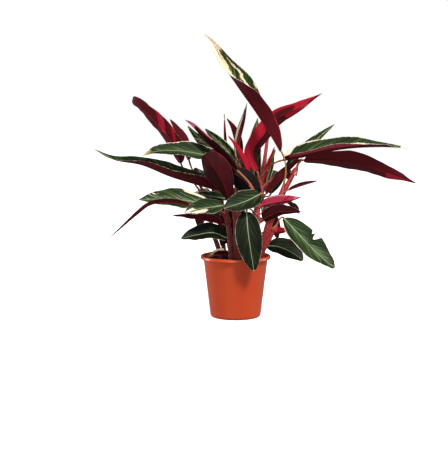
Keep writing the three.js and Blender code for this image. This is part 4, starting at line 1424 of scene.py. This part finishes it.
@dataclass
class Shoot:
    """A stalk with the petioles that leave it and the sheaths that clasp it."""

    stalk: Stalk
    leaves: tuple[Leaf, ...]
    foot_height: float = 102.0
    straight_height: float = 148.0
    top_taper: float = 0.55
    node_pace: float = 3.4
    node_length: float = 0.07
    node_swell: float = 0.05
    stalk_steps: int = 44
    stalk_sides: int = 18
    stalk_ridge: float = 0.035
    # The painted shade that a stalk gains towards its foot, down in the shade of the leaves.
    foot_shade: float = 0.5
    petiole_radius: float = 1.9
    petiole_steps: int = 30
    petiole_sides: int = 12
    petiole_ridge: float = 0.05
    joint_swell: float = 0.6
    joint_start: float = 0.86
    joint_length: float = 0.04
    rise: float = 0.38
    reach: float = 0.34
    gap: float = 0.3
    sheath_swell: float = 2.4
    sheath_fade: float = 5.0
    sheath_share: float = 0.5
    sheath_columns: int = 10
    sheath_rows: int = 16
    sheath_spread: float = 150.0
    sheath_closing: float = 105.0
    sheath_flare: float = 0.9
    sheath_thickness: float = 0.45
    curve: Path = field(init=False)

    ATTRIBUTES = ("petiole", "shade", "fray")

    def __post_init__(self) -> None:
        """Draw the stalk's curve."""
        middle = (self.foot_height + self.straight_height) / 2
        heights = (self.foot_height, middle, self.straight_height)
        foot = [(*self.stalk.foot, height) for height in heights]
        self.curve = routed([*foot, self.stalk.bend, self.stalk.top])

    def petiole(self, leaf: Leaf) -> Path:
        """Draw a leaf's petiole from its stalk to its blade.

        Args:
            leaf: The leaf.

        Returns:
            The petiole's curve.
        """
        share = self.curve.share_at_height(leaf.leaves_at)
        start = self.curve.at(share)
        midrib = routed(leaf.route)
        heading = midrib.heading(0)
        end = midrib.at(0) - heading * self.gap
        span = (end - start).length
        rising = start + self.curve.heading(share) * (self.rise * span)
        return arched(start, rising, end - heading * (self.reach * span), end)

    def stalk_radius(self, share: float) -> float:
        """Give the stalk's radius, with faint swellings at its nodes.

        Args:
            share: How far up it is.

        Returns:
            The radius.
        """
        from_node = (share * self.node_pace % 1.0 - 0.5) / self.node_length
        node = 1 + math.exp(-(from_node**2)) * self.node_swell
        return self.stalk.radius * (1 - self.top_taper * share**4) * node

    def petiole_width(self, foot: float, share: float) -> float:
        """Give a petiole's radius, from its sheath to its swollen joint.

        Args:
            foot: Its plain radius where it leaves the stalk.
            share: How far along it is.

        Returns:
            The radius.
        """
        plain = foot + (self.petiole_radius - foot) * share * share
        sheath = self.sheath_swell * math.exp(-self.sheath_fade * share)
        joint = clamped((share - self.joint_start) / self.joint_length) * self.joint_swell
        return plain + sheath + joint

    def clasp(self, mesh: BMesh, petiole: Path, foot: float, layers: dict) -> None:
        """Wrap a papery sheath round a petiole's foot.

        Args:
            mesh: Where the sheath goes.
            petiole: The petiole's curve.
            foot: The petiole's plain radius where it leaves the stalk.
            layers: The mesh's painted values.
        """
        rows = self.sheath_rows
        outward = petiole.at(1) - petiole.at(0)
        frames = Stations(petiole, rows, self.sheath_share, outward).frames()
        grid = bmesh.ops.create_grid(
            mesh, x_segments=self.sheath_columns, y_segments=rows, size=1
        )["verts"]
        wide = self.stalk.radius * 0.96
        narrow = foot + 0.5
        for vert in grid:
            across = vert.co.x
            row = round((vert.co.y + 1) / 2 * rows)
            share = row / rows
            spread = self.sheath_spread - self.sheath_closing * share**1.5
            angle = math.radians(spread) * across
            radius = wide + (narrow - wide) * min(1.0, share * 1.15)
            radius += self.sheath_flare * abs(across) ** 3 * math.sin(math.pi * share)
            vert.co = frames[row] @ (Vector((math.cos(angle), math.sin(angle), 0)) * radius)
            # A sheath carries most of its stalk's painted shade.
            values = (0.0, self.stalk.shade * 0.8, max(abs(across) ** 4, share**6))
            for key, value in zip(self.ATTRIBUTES, values):
                vert[layers[key]] = value
        faces = list({face for vert in grid for face in vert.link_faces})
        grown = bmesh.ops.extrude_face_region(mesh, geom=faces, use_keep_orig=True)["geom"]
        for vert in vertices_of(grown):
            vert.co += vert.normal * self.sheath_thickness

    def build(self, skin: bpy.types.Material) -> None:
        """Make the shoot as one piece.

        Args:
            skin: The stalks' skin.
        """
        mesh = bmesh.new()
        layers = {key: mesh.verts.layers.float.new(key) for key in self.ATTRIBUTES}
        shade = self.stalk.shade
        stalk = Stations(self.curve, self.stalk_steps)
        # The stalk's painted shade deepens towards its foot.
        for share, ring in swept(
            mesh, stalk, self.stalk_sides, self.stalk_radius, self.stalk_ridge
        ):
            for vert in ring:
                vert[layers["shade"]] = min(1.0, shade + self.foot_shade * math.exp(-share * 9))
        for leaf in self.leaves:
            curve = self.petiole(leaf)
            width = partial(self.petiole_width, leaf.petiole)
            stem = Stations(curve, self.petiole_steps)
            for share, ring in swept(mesh, stem, self.petiole_sides, width, self.petiole_ridge):
                for vert in ring:
                    vert[layers["petiole"]] = leaf.ochre * clamped(share * 1.8 - 0.3)
                    vert[layers["shade"]] = shade
            self.clasp(mesh, curve, leaf.petiole, layers)
        name = self.stalk.name
        finished(f"stem_{name}", mesh, [skin], f"shoot_{name}", "stalk")


# --- Blades ----------------------------------------------------------------------------------


@dataclass
class Blade:
    """A leaf's blade with its veins, ruffles and keel."""

    leaf: Leaf
    seed: float
    thickness: float = 0.7
    base_half_width: float = 1.6
    tip_half_width: float = 0.5
    base_roundness: float = 0.6
    fold_ease: float = 0.35
    waves: float = 2.5
    wave_offset: float = 0.9
    ruffle_pace: float = 13.0
    row_length: float = 2.4
    fewest_rows: int = 24
    vein_period: float = 8.0
    vein_height: float = 0.22
    vein_sweep: float = 2.1
    vein_bend: float = 0.006
    band_sweep: float = 1.15
    margin: float = 0.1
    groove_depth: float = 0.45
    groove_width: float = 1.5
    keel_steps: int = 44
    keel_samples: int = 40
    keel_sides: int = 8
    keel_end: float = 0.94
    keel_sink: float = 0.2
    keel_thick: float = 1.25
    keel_thin: float = 0.3
    places: tuple[float, ...] = (0, 0.06, 0.14, 0.25, 0.38, 0.53, 0.69, 0.84, 0.955, 1.0)
    curve: Path = field(init=False)

    ATTRIBUTES = ("along", "across", "vein", "offset", "seed", "cream", "blush", "fresh_and_lit", "dry")

    def __post_init__(self) -> None:
        """Draw the midrib."""
        self.curve = routed(self.leaf.route)

    def outline(self, share: float) -> float:
        """Give the half width of the lance shape, without its stub.

        Args:
            share: How far along the midrib it is.

        Returns:
            The half width.
        """
        bias = math.log(0.5) / math.log(self.leaf.widest)
        swing = math.sin(math.pi * share**bias)
        power = self.base_roundness if share < self.leaf.widest else self.leaf.taper
        return self.leaf.half_width * max(swing, 0.0) ** power

    def station(self, share: float) -> tuple[Vector, Vector, Vector, float, float]:
        """Place the blade's cross-section.

        Args:
            share: How far along the midrib it is.

        Returns:
            The midrib's point, the directions across and out, the half width and the folds' ease.
        """
        along = self.curve.heading(share)
        out = Vector(self.leaf.face[0]).lerp(Vector(self.leaf.face[-1]), share)
        out = (out - along * out.dot(along)).normalized()
        outline = self.outline(share)
        stub = self.base_half_width + (self.tip_half_width - self.base_half_width) * share
        ease = min(1.0, outline / (self.fold_ease * self.leaf.half_width))
        return self.curve.at(share), along.cross(out), out, outline + stub, ease

    def vein_at(self, share: float, span: float) -> float:
        """Number a point's side vein by where it leaves the midrib, in millimetres."""
        return share * self.curve.length - span * self.vein_sweep - span * span * self.vein_bend

    def point(self, share: float, place: float, depth: float) -> Vector:
        """Give a point of the blade.

        Args:
            share: How far along the midrib it is.
            place: From -1 to 1 across the blade.
            depth: How far under the upper face it is.

        Returns:
            The point.
        """
        leaf = self.leaf
        centre, across, out, half_width, ease = self.station(share)
        side = (place > 0) - (place < 0)
        reach = abs(place)
        for bite in leaf.bites:
            if bite.side == side:
                gap = ((share - bite.share) / bite.breadth) ** 2
                half_width *= 1 - bite.depth * math.exp(-gap * gap)
        fold = math.radians(leaf.folds[0 if side < 0 else 1]) * ease
        curl = math.radians(leaf.curl) * ease
        lean, tilt = fold + curl * reach / 2, fold + curl * reach
        span = half_width * reach
        swing = math.sin(math.tau * self.waves * share + side * self.wave_offset)
        ruffle = noise.noise(Vector((share * self.ruffle_pace, side * 5.5, self.seed)))
        vein = math.sin(math.tau * self.vein_at(share, span) / self.vein_period)
        ripple = leaf.wave * ease * reach * reach * swing
        ripple += ruffle * reach**3 * (0.6 + leaf.wave * 0.8) * ease
        ripple += vein * self.vein_height * ease * math.sin(math.pi * reach) ** 0.6
        groove = math.exp(-((span / self.groove_width) ** 2)) * (1 - share)
        ripple -= self.groove_depth * groove
        rise = out * (span * math.sin(lean) + ripple - depth * math.cos(tilt))
        shift = side * (span * math.cos(lean) + depth * math.sin(tilt))
        return centre + across * shift + rise

    def dress(self, vert: BMVert, layers: dict, share: float, place: float) -> None:
        """Write the values that the skin's pattern follows.

        Args:
            vert: The vertex.
            layers: The mesh's painted values.
            share: How far along the midrib it is.
            place: From -1 to 1 across the blade.
        """
        paint = self.leaf.paint or self.leaf.tone.paint
        span = self.station(share)[3] * abs(place)
        swept_back = span * (self.band_sweep + span * self.vein_bend) / self.curve.length
        weights = [band.weight(share, swept_back, place) for band in paint.bands]
        margin = max(0.0, abs(place) - 1 + self.margin) / self.margin
        dry = max(0.0, 1 - (1 - share) / paint.dry_tip * 0.5)
        values = (
            share,
            place,
            self.vein_at(share, span),
            span,
            self.seed,
            paint.total("cream", weights),
            paint.total("blush", weights),
            paint.fresh_and_lit,
            min(1.0, dry + margin * paint.dry_margin),
        )
        for key, value in zip(self.ATTRIBUTES, values):
            vert[layers[key]] = value

    def keel_radius(self, share: float) -> float:
        """Give the raised midrib's radius at a share of its length."""
        return self.keel_thick * (1 - share) ** 0.8 + self.keel_thin

    def keel(self, mesh: BMesh, layers: dict) -> None:
        """Run the raised midrib along the underside.

        Args:
            mesh: The blade.
            layers: The mesh's painted values.
        """
        shares = [index / self.keel_samples for index in range(self.keel_samples + 1)]
        low = [self.point(at, 0, self.keel_radius(at) + self.keel_sink) for at in shares]
        under = Stations(routed(low), self.keel_steps, self.keel_end)
        for share, ring in swept(mesh, under, self.keel_sides, self.keel_radius):
            for vert in ring:
                self.dress(vert, layers, share * self.keel_end, 0.0)
                for face in vert.link_faces:
                    face.material_index = BladeSide.UNDER.value

    def build(self, skins: Sequence[bpy.types.Material]) -> None:
        """Make the blade.

        Args:
            skins: The upper skin and the underside's.
        """
        mesh = bmesh.new()
        layers = {key: mesh.verts.layers.float.new(key) for key in self.ATTRIBUTES}
        columns = len(self.places) - 1
        rows = max(self.fewest_rows, round(self.curve.length / self.row_length))
        bmesh.ops.create_grid(mesh, x_segments=2 * columns, y_segments=rows, size=1)
        for vert in mesh.verts:
            column = round(vert.co.x * columns)
            row = round((vert.co.y + 1) / 2 * rows)
            place = math.copysign(self.places[abs(column)], column)
            share = (1 - math.cos(math.pi * row / rows)) / 2
            self.dress(vert, layers, share, place if column else 0.0)
            vert.co = self.point(share, vert[layers["across"]], self.thickness)
        under = list(mesh.faces)
        grown = bmesh.ops.extrude_face_region(mesh, geom=under, use_keep_orig=True)["geom"]
        for vert in vertices_of(grown):
            vert.co = self.point(vert[layers["along"]], vert[layers["across"]], 0.0)
        for face in under:
            face.material_index = BladeSide.UNDER.value
        self.keel(mesh, layers)
        name, tone = self.leaf.name, self.leaf.tone
        finished(f"blade_{name}", mesh, skins, f"leaf_{name}", tone.slot)


# --- Stage -----------------------------------------------------------------------------------


@dataclass(frozen=True)
class Lamp:
    """A soft square light: where it hangs, what it looks at, its side and its power."""

    name: str
    at: Triple
    target: Triple
    size: float
    power: float

    def hang(self) -> None:
        """Hang the light."""
        light = bpy.data.lights.new(self.name, "AREA")
        light.size = self.size
        light.energy = self.power
        lamp = linked(self.name, light)
        lamp.location = self.at
        aim = Vector(self.target) - Vector(self.at)
        lamp.rotation_euler = aim.to_track_quat("-Z", "Y").to_euler()


@dataclass
class Studio:
    """The pale floor, the soft lights and the camera."""

    floor_size: float = 14.0
    lens: float = 100.24
    sensor: float = 36.0
    camera_at: Triple = (-0.028, -3.0, 0.570)
    camera_pitch: float = 83.4
    ambient: float = 0.28
    middle: Triple = (0.0, 0.0, 0.32)
    low: Triple = (0.0, 0.0, 0.1)

    def lamps(self) -> tuple[Lamp, ...]:
        """List the lights.

        Returns:
            The lights.
        """
        return (
            Lamp("key_light", (1.2, -2.1, 2.9), self.middle, 0.6, 126),
            Lamp("fill_light", (-0.5, -3.2, 0.6), self.middle, 1.2, 25),
            Lamp("left_light", (-2.0, 0.5, 0.12), self.low, 0.8, 27),
            Lamp("right_light", (2.0, 0.5, 0.12), self.low, 0.8, 14),
            Lamp("rim_light", (0.2, 2.2, 2.6), self.middle, 1.2, 12),
        )

    def floor(self) -> None:
        """Lay the floor."""
        mesh = bmesh.new()
        bmesh.ops.create_grid(mesh, x_segments=2, y_segments=2, size=self.floor_size / 2)
        floor = meshed("stage_floor", mesh)
        floor.data.materials.append(StageFinish().material())
        floor.visible_diffuse = False
        floor.visible_glossy = False

    def air(self) -> None:
        """Surround the plant with soft light, under a backdrop that the camera sees as white."""
        world = bpy.data.worlds.new("studio_air")
        world.use_nodes = True
        nodes, links = world.node_tree.nodes, world.node_tree.links
        nodes["Background"].inputs["Color"].default_value = (1, 1, 1, 1)
        level = nodes.new("ShaderNodeMapRange")
        level.inputs["To Min"].default_value = self.ambient
        ray = nodes.new("ShaderNodeLightPath").outputs["Is Camera Ray"]
        links.new(ray, level.inputs["Value"])
        links.new(level.outputs["Result"], nodes["Background"].inputs["Strength"])
        bpy.context.scene.world = world

    def camera(self) -> None:
        """Set up the camera."""
        lens = bpy.data.cameras.new("camera")
        lens.lens = self.lens
        lens.sensor_width = self.sensor
        camera = linked("camera", lens)
        camera.location = self.camera_at
        camera.rotation_euler = (math.radians(self.camera_pitch), 0, 0)
        bpy.context.scene.camera = camera
        bpy.context.scene.view_settings.view_transform = "Standard"

    def build(self) -> None:
        """Set the stage."""
        self.floor()
        for lamp in self.lamps():
            lamp.hang()
        self.air()
        self.camera()


def main() -> None:
    """Set the stage and build the potted plant."""
    logging.basicConfig(level=logging.INFO, format="%(message)s")
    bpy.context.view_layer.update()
    Studio().build()
    pot = Pot()
    pot.build(PotFinish())
    Soil(pot).build(SoilFinish())
    stalk_skin = StalkFinish().material()
    for stalk in STALKS:
        own = tuple(leaf for leaf in LEAVES if leaf.shoot == stalk.name)
        Shoot(stalk, own).build(stalk_skin)
    skins = BladeFinish().skins()
    for index, leaf in enumerate(LEAVES):
        Blade(leaf, 1 + SEED_STEP * index).build(skins)


if __name__ == "__main__":
    main()
